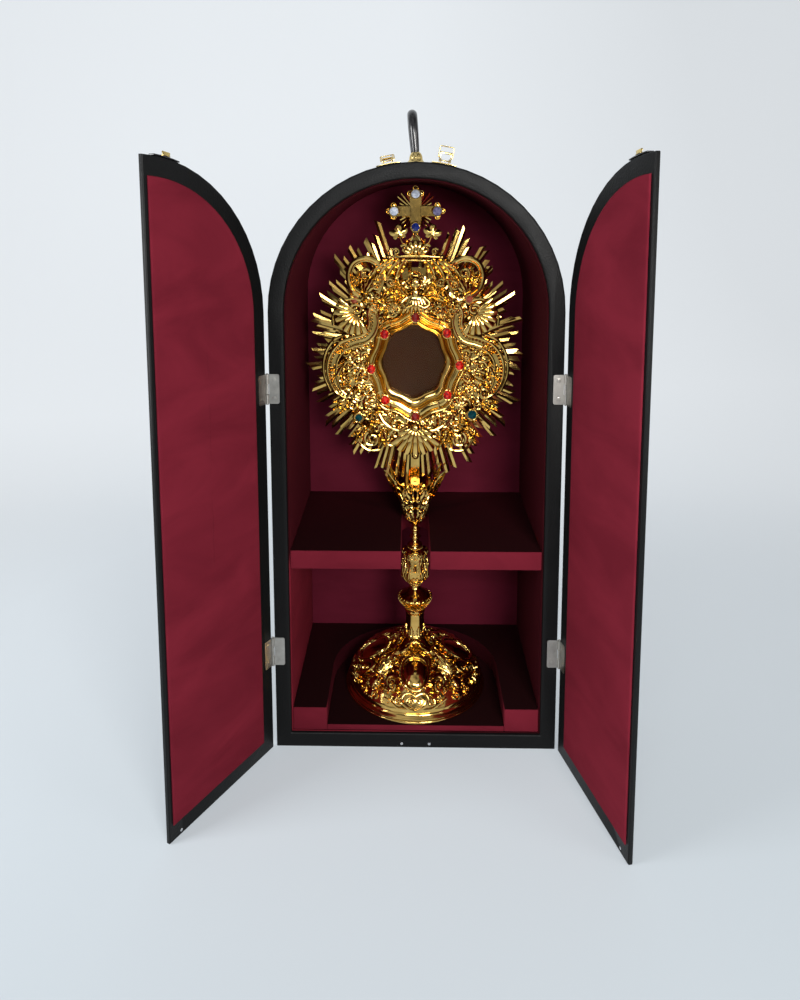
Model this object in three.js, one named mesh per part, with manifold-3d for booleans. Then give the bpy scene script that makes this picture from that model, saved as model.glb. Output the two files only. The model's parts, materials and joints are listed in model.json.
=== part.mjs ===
// Arched travelling case for a monstrance, with the monstrance that it was made for standing in it.
// Millimetres, +Z up, +X to the right, +Y to the back. The origin is the middle of the case's
// footprint, on the face that it stands on. The doors stand open and the latches undone.
// The monstrance's own sizes come first, because the case is made to fit round it.
import * as THREE from "three";
import { mergeVertices } from "three/addons/utils/BufferGeometryUtils.js";
import Module from "manifold-3d";

const wasm = await Module();
wasm.setup();

// Clearances
const SEAT = 0.3;
const RUNNING = 0.3;

// Monstrance: foot, and stem of sleeves on a tie rod. Heights are above the foot's underside
const FOOT_RADIUS = 100;
const FOOT_RIM_HEIGHT = 10.5;
const FOOT_RIM_WIDTH = 12;
const FOOT_DOME_HEIGHT = 71;
const FOOT_SHEET = 2;
const DOME_PROFILE = [
  [0.92, 0],
  [0.91, 0.1],
  [0.84, 0.27],
  [0.72, 0.45],
  [0.56, 0.62],
  [0.38, 0.77],
  [0.24, 0.9],
  [0.17, 1],
];
const FOOT_AROUND = 28;
const FOOT_LOBES = 8;
const FOOT_LOBE_DEPTH = 1.6;
const FOOT_BOSSES = 4;
const FOOT_BOSS_SIZE = 16;
const BOSS_PLACE = 0.55;
const BOSS_TILT = 0.75;
const SHAFT_LENGTH = 40;
const SHAFT_RADIUS = 13.4;
const KNOP_LENGTH = 39;
const KNOP_RADIUS = 24.5;
const KNOP_LOBES = 12;
const KNOP_LOBE_DEPTH = 2;
const BALUSTER_LENGTH = 55.5;
const BALUSTER_RADIUS = 20;
const COLLAR_LENGTH = 35.5;
const COLLAR_RADIUS = 10.4;
const CALYX_LENGTH = 59;
const CALYX_RADIUS = 28;
const CALYX_LEAVES = 8;
const CALYX_LEAF_DEPTH = 2.4;
const CALYX_SOCKET = 26;
const ROD_RADIUS = 3;
const ROD_END = 3;
const ROD_NUT_RADIUS = 7;
const ROD_NUT_HEIGHT = 5;

// Sunburst, one pierced plate of ridged rays
const SUN_ABOVE_CALYX = 11;
const SUN_HALF_WIDTH = 152;
const SUN_HALF_HEIGHT = 176;
const SUN_THICKNESS = 6;
const SUN_RIM_HALF_WIDTH = 104;
const SUN_RIM_HALF_HEIGHT = 124;
const SUN_FRONT = 4.5;
const RAY_COUNT = 66;
const RAY_EDGE = 1.6;
const RAY_LENGTHS = [1, 0.86, 0.95, 0.8, 0.98, 0.88];
const RIDGE = 1.4;
const CREST_HALF_ANGLE_DEG = 11;
const CREST_RAY_LENGTH = 0.9;
const TANG_PLATE_WIDTH = 15;
const TANG_PLATE_LAP = 10;

// Luna: lobed frame in front, hinged glazed door behind
const LUNA_BELOW_SUN = 20;
const LENS_HALF_WIDTH = 43;
const LENS_HALF_HEIGHT = 49;
const LUNA_WIDTH = 20;
const LUNA_RISE = 26;
const LUNA_DEPTH = 12;
const LUNA_LOBES = 8;
const LUNA_LOBE_DEPTH = 0.055;
const LUNA_SEGMENTS = 32;
const COLLET_RADIUS = 5;
const COLLET_PLACE = 0.62;
const COLLET_DEPTH = 2.6;
const GLASS_THICKNESS = 1.2;
const GLASS_LAP = 4;
const GLASS_SEGMENTS = 10;
const LUNA_DOOR_WIDTH = 15;
const LUNA_DOOR_THICKNESS = 3.2;
const LUNA_DOOR_CHAMFER = 2;
const LUNA_KNUCKLE_RADIUS = 2.3;
const LUNA_KNUCKLE_LENGTH = 12;
const LUNA_KNUCKLE_STANDOFF = 0.4;
const LUNA_HINGE_REACH = 1;
const LUNA_TAB_LENGTH = 6;
const LUNA_TAB_THICKNESS = 1.6;
const LUNA_PIN_RADIUS = 0.9;
const LUNA_LUG_LENGTH = 5;

// Cast wreath round the luna. Its parts are placed by shares of the luna's outer half axes
const WREATH_GAP = 1;
const WREATH_WIDTH = 38;
const WREATH_DEPTH = 11;
const WREATH_WAVE_DEPTH = 4;
const WREATH_WAVES = 8;
const WREATH_AROUND = 28;
const WREATH_SEAT = 6;
const SCROLL_WIRE = 4.2;
const SCROLL_STANDOFF = 5;
const SCROLL_POINTS = 8;
const SIDE_SCROLL = { out: 1.24, up: 0, radius: 39, from: -75, to: 75 };
const UPPER_SCROLL = { out: 1, up: 1.56, radius: 24, from: -50, to: 215 };
const LOWER_SCROLL = { out: 0.94, up: -1.22, radius: 18, from: -150, to: 90 };
const SHELL = { out: 1.34, up: 0.82, radius: 22 };
const WING = { out: 0.37, up: 1.53, length: 22, tilt: 28 };
const PALMETTE = { up: -1.16, length: 13, ribs: 5, spacing: 26 };
const CREST = [
  { up: 1.44, radius: 12, depth: 0.85, height: 1.1 },
  { up: 1.81, radius: 18, depth: 0.5, height: 1.15 },
  { up: 2.1, radius: 10, depth: 0.6, height: 1.4 },
];

// Budded cross, held by a tang behind the sunburst
const CROSS_BELOW_TIPS = 1;
const CROSS_STEM = 17;
const CROSS_HEAD = 34;
const CROSS_HALF_SPAN = 40;
const CROSS_BAR = 12;
const CROSS_ARM_BAR = 10;
const CROSS_THICKNESS = 3;
const CROSS_TANG = 55;
const CROSS_TANG_WIDTH = 8;
const CROSS_TANG_THICKNESS = 2;
const CROSS_FOOT_HEIGHT = 6;
const CROSS_BUD_RADIUS = 4.4;
const CROSS_COLLET_RADIUS = 5.2;
const CROSS_COLLET_DEPTH = 2;
const CROSS_BEAM_RADIUS = 1.1;
const CROSS_BEAMS = [
  { deg: 30, reach: 20 },
  { deg: 45, reach: 25 },
  { deg: 60, reach: 20 },
];

// Case: walls, and the room left round the monstrance
const WALL = 20;
const BACK_THICKNESS = 8;
const EDGE_ROUNDING = 1.5;
const ARCH_SEGMENTS = 14;
const BOARD_SEGMENTS = 8;
const LINING = 2;
const LINING_SETBACK = 4;
const FOOT_ROOM_IN_FRONT = 5;
const FOOT_ROOM_BEHIND = 10;
const RAY_ROOM = 11;
const HEAD_ROOM = 4.7;

// Block that the foot stands in, and the shelf that the stem passes through
const RECESS_BOARD = 7.7;
const RECESS_DEPTH = 24;
const RECESS_ROOM = 18;
const RECESS_BACK_WALL = 4;
const SHELF_ABOVE_COLLAR = 1.7;
const SHELF_THICKNESS = 25;
const SLOT_ROOM = 8.6;
const SLOT_BEYOND_STEM = 34;

// Doors
const DOOR_THICKNESS = 6;
const DOOR_BOTTOM = 1;
const DOOR_PLANE_GAP = 0.5;
const DOOR_MEETING_GAP = 0.8;
const DOOR_EDGE_ROUNDING = 1;
const PAD_THICKNESS = 2.2;
const PAD_BORDER = 21.5;
const PAD_MEETING_BORDER = 5;
const PAD_ROUNDING = 0.8;
const LEFT_DOOR_OPENING_DEG = 119;
const RIGHT_DOOR_OPENING_DEG = 103.5;

// Butt hinges: three knuckles, two on the case leaf and one on the door leaf
const LOWER_HINGE_HEIGHT = 135.5;
const UPPER_HINGE_BELOW_SPRING = 97;
const LEAF_HEIGHT = 38;
const LEAF_WIDTH = 15.5;
const LEAF_THICKNESS = 1.2;
const LEAF_CORNER = 2.5;
const KNUCKLE_RADIUS = 1.9;
const KNUCKLE_GAP = 0.4;
const PIN_RADIUS = 0.85;
const PIN_HEAD_RADIUS = 1.6;
const PIN_HEAD_THICKNESS = 0.8;
const SMALL_ROUND_SEGMENTS = 8;

// Magnets that hold the doors shut
const MAGNET_RADIUS = 2;
const MAGNET_THICKNESS = 2;
const MAGNET_OFFSET = 18.3;
const MAGNET_HEIGHT = 6;

// Bail handle on the crown, with one post in front and one behind
const HANDLE_SPAN = 116;
const HANDLE_RISE = 71;
const HANDLE_LEAN_DEG = 5;
const GRIP_RADIUS = 6.6;
const LEG_RADIUS = 4.7;
const POST_FLANGE_RADIUS = 12.5;
const POST_FLANGE_THICKNESS = 1.4;
const POST_RADIUS = 8.8;
const POST_HEIGHT = 15;
const POST_SEGMENTS = 12;
const POST_STUD_RADIUS = 2.5;
const POST_STUD_LENGTH = 13;
const HANDLE_PIVOT_HEIGHT = 9;
const HANDLE_PIN_RADIUS = 1.5;
const TANG_THICKNESS = 4;
const TANG_WIDTH = 9;
const TANG_LENGTH = 10;
const HANDLE_BEND_RADIUS = 26;
const HANDLE_STEPS = 16;
const HANDLE_SIDES = 8;

// Draw latches on the arch and the keepers on the doors' arch edges
const LATCH_OFFSET = 34;
const LATCH_PLATE_LENGTH = 30;
const LATCH_PLATE_DEPTH = 20;
const LATCH_PLATE_THICKNESS = 1;
const LATCH_SETBACK = 1.5;
const LATCH_PIVOT_SETBACK = 5.5;
const LATCH_PIVOT_HEIGHT = 4.2;
const EAR_INSIDE = 4.6;
const SHEET_THICKNESS = 1.2;
const LATCH_SIDE_GAP = 0.4;
const EAR_LENGTH = 5.6;
const RIVET_RADIUS = 0.8;
const LEVER_LENGTH = 10.5;
const LEVER_CHEEK_WIDTH = 3.6;
const THUMB_BAR_LENGTH = 2.5;
const LOOP_PIVOT_ALONG_LEVER = 3.6;
const LOOP_LENGTH = 13.5;
const LOOP_WIRE_RADIUS = 0.7;
const LOOP_PIN_RADIUS = 0.6;
const LEFT_LEVER_DEG = 25;
const RIGHT_LEVER_DEG = 90;
const KEEPER_LENGTH = 36;
const KEEPER_THICKNESS = 1.5;
const KEEPER_FLANGE = 8;
const HOOK_WIDTH = 10;
const HOOK_BASE_THICKNESS = 0.8;
const HOOK_RISE = 3;
const HOOK_LIP = 2.2;

// Monstrance heights, each standing on the one below
const SHAFT_TOP = FOOT_DOME_HEIGHT + SHAFT_LENGTH;
const KNOP_TOP = SHAFT_TOP + KNOP_LENGTH;
const BALUSTER_TOP = KNOP_TOP + BALUSTER_LENGTH;
const COLLAR_TOP = BALUSTER_TOP + COLLAR_LENGTH;
const CALYX_TOP = COLLAR_TOP + CALYX_LENGTH;
const SUN_HEIGHT = CALYX_TOP + SUN_ABOVE_CALYX + SUN_HALF_HEIGHT;
const LUNA_HEIGHT = SUN_HEIGHT - LUNA_BELOW_SUN;
const CROSS_BOTTOM = SUN_HEIGHT + SUN_HALF_HEIGHT - CROSS_BELOW_TIPS;
const CROSS_ARM_HEIGHT = CROSS_BOTTOM + CROSS_STEM;
const CROSS_TOP = CROSS_ARM_HEIGHT + CROSS_HEAD;
const LUNA_HINGE = {
  x: LENS_HALF_WIDTH + LUNA_DOOR_WIDTH + LUNA_KNUCKLE_RADIUS + RUNNING + LUNA_HINGE_REACH,
  y: SUN_THICKNESS - SUN_FRONT + SEAT + LUNA_KNUCKLE_RADIUS + LUNA_KNUCKLE_STANDOFF,
};

// Case sizes, made round the monstrance
const LINED_HALF_WIDTH = SUN_HALF_WIDTH + RAY_ROOM;
const INNER_HALF_WIDTH = LINED_HALF_WIDTH + LINING;
const HALF_WIDTH = INNER_HALF_WIDTH + WALL;
const LINED_FLOOR = WALL + LINING;
const RECESS_FLOOR_TOP = LINED_FLOOR + SEAT + RECESS_BOARD;
const BLOCK_TOP = RECESS_FLOOR_TOP + RECESS_DEPTH;
const FOOT_Z = RECESS_FLOOR_TOP + SEAT;
const SHELF_TOP = FOOT_Z + COLLAR_TOP + SHELF_ABOVE_COLLAR;
const CASE_HEIGHT = FOOT_Z + CROSS_TOP + HEAD_ROOM + LINING + WALL;
const CASE_DEPTH = FOOT_ROOM_IN_FRONT + 2 * FOOT_RADIUS + FOOT_ROOM_BEHIND + LINING + BACK_THICKNESS;
const SPRING = CASE_HEIGHT - HALF_WIDTH;
const FRONT = -CASE_DEPTH / 2;
const BACK = CASE_DEPTH / 2;
const LINED_BACK = BACK - BACK_THICKNESS - LINING;
const AXIS_Y = FRONT + FOOT_ROOM_IN_FRONT + FOOT_RADIUS;
const HINGE_AXIS = {
  x: HALF_WIDTH + KNUCKLE_RADIUS + RUNNING,
  y: FRONT - DOOR_PLANE_GAP / 2,
};
const HINGE_HEIGHTS = { lower: LOWER_HINGE_HEIGHT, upper: SPRING - UPPER_HINGE_BELOW_SPRING };
const DOOR_INNER = FRONT - DOOR_PLANE_GAP;
const DOOR_OUTER = DOOR_INNER - DOOR_THICKNESS;
const rad = THREE.MathUtils.degToRad;

const MATERIALS = {
  leatherette: new THREE.MeshStandardMaterial({ color: 0x17181a, roughness: 0.55 }),
  velvet: new THREE.MeshStandardMaterial({ color: 0x6b1526, roughness: 0.95 }),
  nickel: new THREE.MeshStandardMaterial({ color: 0xb9b4ac, roughness: 0.3, metalness: 1 }),
  brass: new THREE.MeshStandardMaterial({ color: 0xc9a63a, roughness: 0.25, metalness: 1 }),
  gold: new THREE.MeshStandardMaterial({ color: 0xd8a93c, roughness: 0.18, metalness: 1 }),
  black: new THREE.MeshStandardMaterial({ color: 0x141516, roughness: 0.35 }),
  steel: new THREE.MeshStandardMaterial({ color: 0xc8c9cb, roughness: 0.25, metalness: 1 }),
  glass: new THREE.MeshStandardMaterial({ color: 0xe6ecec, transparent: true, opacity: 0.35 }),
};

// Solids and booleans
function toSolid(geometry) {
  const bare = geometry.clone();
  bare.deleteAttribute("normal");
  bare.deleteAttribute("uv");
  const merged = mergeVertices(bare, 1e-4);
  return new wasm.Manifold(
    new wasm.Mesh({
      numProp: 3,
      vertProperties: merged.attributes.position.array,
      triVerts: new Uint32Array(merged.index.array),
    }),
  );
}

function toGeometry(solid) {
  const mesh = solid.getMesh();
  const geometry = new THREE.BufferGeometry();
  geometry.setAttribute("position", new THREE.BufferAttribute(mesh.vertProperties, 3));
  geometry.setIndex(new THREE.BufferAttribute(mesh.triVerts, 1));
  geometry.computeVertexNormals();
  return geometry;
}

function join(...geometries) {
  return toGeometry(geometries.map(toSolid).reduce((all, next) => all.add(next)));
}

function cut(geometry, ...tools) {
  return toGeometry(
    tools.map(toSolid).reduce((left, tool) => left.subtract(tool), toSolid(geometry)),
  );
}

// A box from its low and high corner, whichever way round each pair is given
function box([x0, x1], [y0, y1], [z0, z1]) {
  const geometry = new THREE.BoxGeometry(
    Math.abs(x1 - x0),
    Math.abs(y1 - y0),
    Math.abs(z1 - z0),
  );
  return geometry.translate((x0 + x1) / 2, (y0 + y1) / 2, (z0 + z1) / 2);
}

// The same faces, turned round if they face into the body
function facingOut(geometry) {
  const at = geometry.attributes.position;
  const corners = geometry.index.array;
  const [a, b, c] = [new THREE.Vector3(), new THREE.Vector3(), new THREE.Vector3()];
  let volume = 0;
  for (let i = 0; i < corners.length; i += 3) {
    a.fromBufferAttribute(at, corners[i]);
    b.fromBufferAttribute(at, corners[i + 1]);
    c.fromBufferAttribute(at, corners[i + 2]);
    volume += a.dot(b.cross(c));
  }
  if (volume < 0) geometry.setIndex([...corners].reverse());
  return geometry;
}

// A body from a list of points and a list of triangles
function body(positions, index) {
  const geometry = new THREE.BufferGeometry();
  geometry.setAttribute("position", new THREE.Float32BufferAttribute(positions, 3));
  geometry.setIndex(index);
  return facingOut(geometry);
}

// A round bar between two points
function rod(radius, from, to, segments = SMALL_ROUND_SEGMENTS) {
  const a = new THREE.Vector3(...from);
  const b = new THREE.Vector3(...to);
  const geometry = new THREE.CylinderGeometry(radius, radius, a.distanceTo(b), segments);
  const turn = new THREE.Quaternion().setFromUnitVectors(
    new THREE.Vector3(0, 1, 0),
    b.clone().sub(a).normalize(),
  );
  geometry.applyQuaternion(turn);
  const middle = a.add(b).multiplyScalar(0.5);
  return geometry.translate(middle.x, middle.y, middle.z);
}

function ball(radius, at, scale = [1, 1, 1], segments = 10) {
  return new THREE.SphereGeometry(radius, segments, segments - 3)
    .rotateX(Math.PI / 2)
    .scale(...scale)
    .translate(...at);
}

// A turned piece about a vertical axis, from radius and height pairs
function turned(profile, segments = 36) {
  const points = profile.map(([r, z]) => new THREE.Vector2(r, z));
  return new THREE.LatheGeometry(points, segments).rotateX(Math.PI / 2);
}

// An outline in X and Z, given its thickness from front to back
function slab(shape, front, back, rounding = 0, curveSegments = ARCH_SEGMENTS) {
  const geometry = new THREE.ExtrudeGeometry(shape, {
    depth: back - front - 2 * rounding,
    bevelEnabled: rounding > 0,
    bevelThickness: rounding,
    bevelSize: rounding,
    bevelOffset: -rounding,
    bevelSegments: 1,
    curveSegments,
  });
  return geometry.rotateX(Math.PI / 2).translate(0, back - rounding, 0);
}

// A bar of changing radius along a curve that lies in one plane
function sweptBar(curve, radiusAt, planeNormal, steps, sides) {
  const positions = [];
  const index = [];
  const side = new THREE.Vector3(...planeNormal);
  for (let i = 0; i <= steps; i++) {
    const centre = curve.getPointAt(i / steps);
    const along = curve.getTangentAt(i / steps);
    const up = new THREE.Vector3().crossVectors(along, side).normalize();
    const radius = radiusAt(i / steps);
    for (let j = 0; j < sides; j++) {
      const angle = (2 * Math.PI * j) / sides;
      const point = centre
        .clone()
        .addScaledVector(side, radius * Math.cos(angle))
        .addScaledVector(up, radius * Math.sin(angle));
      positions.push(point.x, point.y, point.z);
    }
  }
  for (let i = 0; i < steps; i++) {
    for (let j = 0; j < sides; j++) {
      const next = (j + 1) % sides;
      const a = i * sides + j;
      const b = i * sides + next;
      index.push(a, a + sides, b, b, a + sides, b + sides);
    }
  }
  for (const ring of [0, steps]) {
    const centre = curve.getPointAt(ring / steps);
    const middle = positions.length / 3;
    positions.push(centre.x, centre.y, centre.z);
    for (let j = 0; j < sides; j++) {
      const a = ring * sides + j;
      const b = ring * sides + ((j + 1) % sides);
      index.push(middle, ...(ring ? [b, a] : [a, b]));
    }
  }
  return body(positions, index);
}

// A closed skin whose rings each follow one closed section: at(u, v) gives a point, u runs round
// the axis and v round the section
function closedSkin(at, around, section) {
  const positions = [];
  const index = [];
  for (let i = 0; i < around; i++) {
    for (let j = 0; j < section; j++) positions.push(...at(i / around, j));
  }
  for (let i = 0; i < around; i++) {
    for (let j = 0; j < section; j++) {
      const a = i * section + j;
      const b = i * section + ((j + 1) % section);
      const c = ((i + 1) % around) * section + j;
      const d = ((i + 1) % around) * section + ((j + 1) % section);
      index.push(a, c, b, b, c, d);
    }
  }
  return body(positions, index);
}

function piece(parent, name, material, geometry) {
  const mesh = new THREE.Mesh(geometry, MATERIALS[material]);
  mesh.name = name;
  parent.add(mesh);
  return mesh;
}

// Case outlines
function arch(halfWidth, bottom) {
  const shape = new THREE.Shape();
  shape.moveTo(-halfWidth, bottom);
  shape.lineTo(halfWidth, bottom);
  shape.lineTo(halfWidth, SPRING);
  shape.absarc(0, SPRING, halfWidth, 0, Math.PI, false);
  shape.closePath();
  return shape;
}

function archRing(outside, outsideBottom, inside, insideBottom) {
  const shape = arch(outside, outsideBottom);
  shape.holes.push(arch(inside, insideBottom));
  return shape;
}

// One door's outline as it lies when shut: side is -1 for the left door and 1 for the right
function halfArch(side, radius, meeting, bottom) {
  const shape = new THREE.Shape();
  const top = Math.acos(meeting / radius);
  shape.moveTo(side * meeting, bottom);
  shape.lineTo(side * radius, bottom);
  shape.lineTo(side * radius, SPRING);
  if (side > 0) shape.absarc(0, SPRING, radius, 0, top, false);
  else shape.absarc(0, SPRING, radius, Math.PI, Math.PI - top, true);
  shape.closePath();
  return shape;
}

// The shelf's slot and the block's recess are both open in front and round at the back
function openInFront(half, straightEnd, reach, front) {
  const path = new THREE.Shape();
  path.moveTo(-half, front);
  path.lineTo(half, front);
  path.lineTo(half, straightEnd);
  path.absellipse(0, straightEnd, half, reach, 0, Math.PI, false);
  path.closePath();
  return path;
}

// A board lying flat, from an outline in X and Y
function board(shape, bottom, top) {
  const settings = { depth: top - bottom, bevelEnabled: false, curveSegments: BOARD_SEGMENTS };
  return new THREE.ExtrudeGeometry(shape, settings).translate(0, 0, bottom);
}

const part = new THREE.Group();

// Case shell with its mortises for hinges, magnets and handle studs
function makeShell() {
  const tools = [];
  for (const side of [-1, 1]) {
    for (const z of Object.values(HINGE_HEIGHTS)) {
      tools.push(
        box(
          [side * (HALF_WIDTH + 1), side * (HINGE_AXIS.x - LEAF_WIDTH - SEAT)],
          [FRONT - 1, FRONT + LEAF_THICKNESS + SEAT],
          [z - LEAF_HEIGHT / 2 - SEAT, z + LEAF_HEIGHT / 2 + SEAT],
        ),
      );
    }
    const magnetX = side * MAGNET_OFFSET;
    tools.push(
      rod(
        MAGNET_RADIUS + SEAT,
        [magnetX, FRONT - 1, MAGNET_HEIGHT],
        [magnetX, FRONT + MAGNET_THICKNESS + SEAT, MAGNET_HEIGHT],
      ),
    );
    const postY = (side * HANDLE_SPAN) / 2;
    tools.push(
      rod(
        POST_STUD_RADIUS + SEAT,
        [0, postY, CASE_HEIGHT + 1],
        [0, postY, CASE_HEIGHT - POST_STUD_LENGTH - SEAT],
      ),
    );
  }
  const ring = archRing(HALF_WIDTH, 0, INNER_HALF_WIDTH, WALL);
  const shell = slab(ring, FRONT, BACK, EDGE_ROUNDING);
  piece(part, "case_shell", "leatherette", cut(shell, ...tools));
  const panel = arch(INNER_HALF_WIDTH - SEAT, WALL + SEAT);
  piece(part, "back_panel", "leatherette", slab(panel, BACK - BACK_THICKNESS, BACK));
}

// Velvet linings, shelf, block and the board under the foot
function makeInterior() {
  const front = FRONT + LINING_SETBACK;
  const behind = BACK - BACK_THICKNESS - SEAT;
  const lining = archRing(
    INNER_HALF_WIDTH - SEAT,
    WALL + SEAT,
    LINED_HALF_WIDTH,
    LINED_FLOOR,
  );
  piece(part, "wall_lining", "velvet", slab(lining, front, behind));
  const fitted = LINED_HALF_WIDTH - SEAT;
  const fittedBack = LINED_BACK - SEAT;
  const backLining = arch(fitted, LINED_FLOOR + SEAT);
  piece(part, "back_lining", "velvet", slab(backLining, LINED_BACK, behind));

  const whole = box([-fitted, fitted], [front, fittedBack], [SHELF_TOP - SHELF_THICKNESS, SHELF_TOP]);
  const slotHalf = COLLAR_RADIUS + SLOT_ROOM;
  const slotEnd = AXIS_Y + SLOT_BEYOND_STEM - slotHalf;
  const slot = board(
    openInFront(slotHalf, slotEnd, slotHalf, front - 1),
    SHELF_TOP - SHELF_THICKNESS - 1,
    SHELF_TOP + 1,
  );
  piece(part, "shelf", "velvet", cut(whole, slot));

  const recessHalf = FOOT_RADIUS + RECESS_ROOM;
  const recessReach = LINED_BACK - RECESS_BACK_WALL - AXIS_Y;
  const floor = LINED_FLOOR + SEAT;
  const block = box([-fitted, fitted], [front, fittedBack], [floor, BLOCK_TOP]);
  const recess = board(
    openInFront(recessHalf, AXIS_Y, recessReach, front - 1),
    floor - 1,
    BLOCK_TOP + 1,
  );
  piece(part, "base_block", "velvet", cut(block, recess));
  const inset = openInFront(recessHalf - SEAT, AXIS_Y, recessReach - SEAT, front);
  piece(part, "recess_floor", "velvet", board(inset, floor, RECESS_FLOOR_TOP));
}

// A leaf plate with rounded far corners, lying against one face; x runs from the pin to the centre
function leafPlate(side, y0, y1, z) {
  const half = LEAF_HEIGHT / 2;
  const corner = LEAF_CORNER;
  const shape = new THREE.Shape();
  const far = HINGE_AXIS.x - LEAF_WIDTH;
  shape.moveTo(side * HINGE_AXIS.x, z - half);
  shape.lineTo(side * (far + corner), z - half);
  shape.quadraticCurveTo(side * far, z - half, side * far, z - half + corner);
  shape.lineTo(side * far, z + half - corner);
  shape.quadraticCurveTo(side * far, z + half, side * (far + corner), z + half);
  shape.lineTo(side * HINGE_AXIS.x, z + half);
  shape.closePath();
  return slab(shape, y0, y1, 0, 2);
}

// Both leaves and the pin of one butt hinge, with the door shut
function hingeParts(side, z) {
  const axis = (z0, z1, radius) =>
    rod(
      radius,
      [side * HINGE_AXIS.x, HINGE_AXIS.y, z0],
      [side * HINGE_AXIS.x, HINGE_AXIS.y, z1],
    );
  const clearOf = (z0, z1) => {
    const reach = KNUCKLE_RADIUS + KNUCKLE_GAP;
    return box(
      [side * (HINGE_AXIS.x - reach), side * (HINGE_AXIS.x + reach)],
      [HINGE_AXIS.y - reach, HINGE_AXIS.y + reach],
      [z0, z1],
    );
  };
  const half = LEAF_HEIGHT / 2;
  const middle = LEAF_HEIGHT / 6;
  const gap = KNUCKLE_GAP / 2;
  const bore = axis(z - half - 1, z + half + 1, PIN_RADIUS + RUNNING);
  const casePlate = cut(
    leafPlate(side, FRONT, FRONT + LEAF_THICKNESS, z),
    clearOf(z - middle - gap, z + middle + gap),
  );
  const caseLeaf = cut(
    join(
      casePlate,
      axis(z - half, z - middle - gap, KNUCKLE_RADIUS),
      axis(z + middle + gap, z + half, KNUCKLE_RADIUS),
    ),
    bore,
  );
  const doorPlate = cut(
    leafPlate(side, DOOR_INNER - LEAF_THICKNESS, DOOR_INNER, z),
    clearOf(z - half - 1, z - middle + gap),
    clearOf(z + middle - gap, z + half + 1),
  );
  const doorLeaf = cut(
    join(doorPlate, axis(z - middle + gap, z + middle - gap, KNUCKLE_RADIUS)),
    bore,
  );
  const pin = join(
    axis(z - half - SEAT, z + half + SEAT, PIN_RADIUS),
    axis(z + half + SEAT, z + half + SEAT + PIN_HEAD_THICKNESS, PIN_HEAD_RADIUS),
    axis(z - half - SEAT - PIN_HEAD_THICKNESS, z - half - SEAT, PIN_HEAD_RADIUS),
  );
  return { caseLeaf, doorLeaf, pin };
}

// A latch or keeper frame on the arch: X along the arch, Z outwards, Y unchanged
function onArch(parent, side, y) {
  const group = new THREE.Group();
  const angle = Math.asin(LATCH_OFFSET / HALF_WIDTH);
  group.position.set(
    side * HALF_WIDTH * Math.sin(angle),
    y,
    SPRING + HALF_WIDTH * Math.cos(angle),
  );
  group.rotation.y = side * angle;
  parent.add(group);
  return group;
}

// A plate bent to the arch, in the frame that onArch gives
function bentPlate(length, inside, outside, y0, y1) {
  const shape = new THREE.Shape();
  const half = Math.asin(length / 2 / HALF_WIDTH);
  const start = Math.PI / 2 - half;
  const end = Math.PI / 2 + half;
  shape.absarc(0, -HALF_WIDTH, HALF_WIDTH + outside, start, end, false);
  shape.absarc(0, -HALF_WIDTH, HALF_WIDTH + inside, end, start, true);
  shape.closePath();
  return slab(shape, y0, y1, 0, 2);
}

// Keeper: a black angle plate over the door's arch edge with a brass hook on it
function makeKeeper(door, side, label) {
  const frame = onArch(door, side, 0);
  const plate = join(
    bentPlate(KEEPER_LENGTH, SEAT, SEAT + KEEPER_THICKNESS, DOOR_OUTER - SEAT, DOOR_INNER),
    bentPlate(
      KEEPER_LENGTH,
      -KEEPER_FLANGE,
      SEAT + KEEPER_THICKNESS,
      DOOR_OUTER - SEAT - KEEPER_THICKNESS,
      DOOR_OUTER - SEAT,
    ),
  );
  piece(frame, `keeper_plate_${label}`, "black", plate);
  const top = KEEPER_THICKNESS + 2 * SEAT;
  const half = HOOK_WIDTH / 2;
  const back = DOOR_INNER - SEAT;
  const stem = back - HOOK_LIP;
  const rise = top + HOOK_BASE_THICKNESS + HOOK_RISE;
  const hook = join(
    box([-half, half], [DOOR_OUTER, back], [top, top + HOOK_BASE_THICKNESS]),
    box([-half, half], [stem, stem + SHEET_THICKNESS], [top, rise]),
    rod(SHEET_THICKNESS, [-half, stem, rise], [half, stem, rise]),
  );
  piece(frame, `keeper_hook_${label}`, "brass", hook);
}

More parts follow.
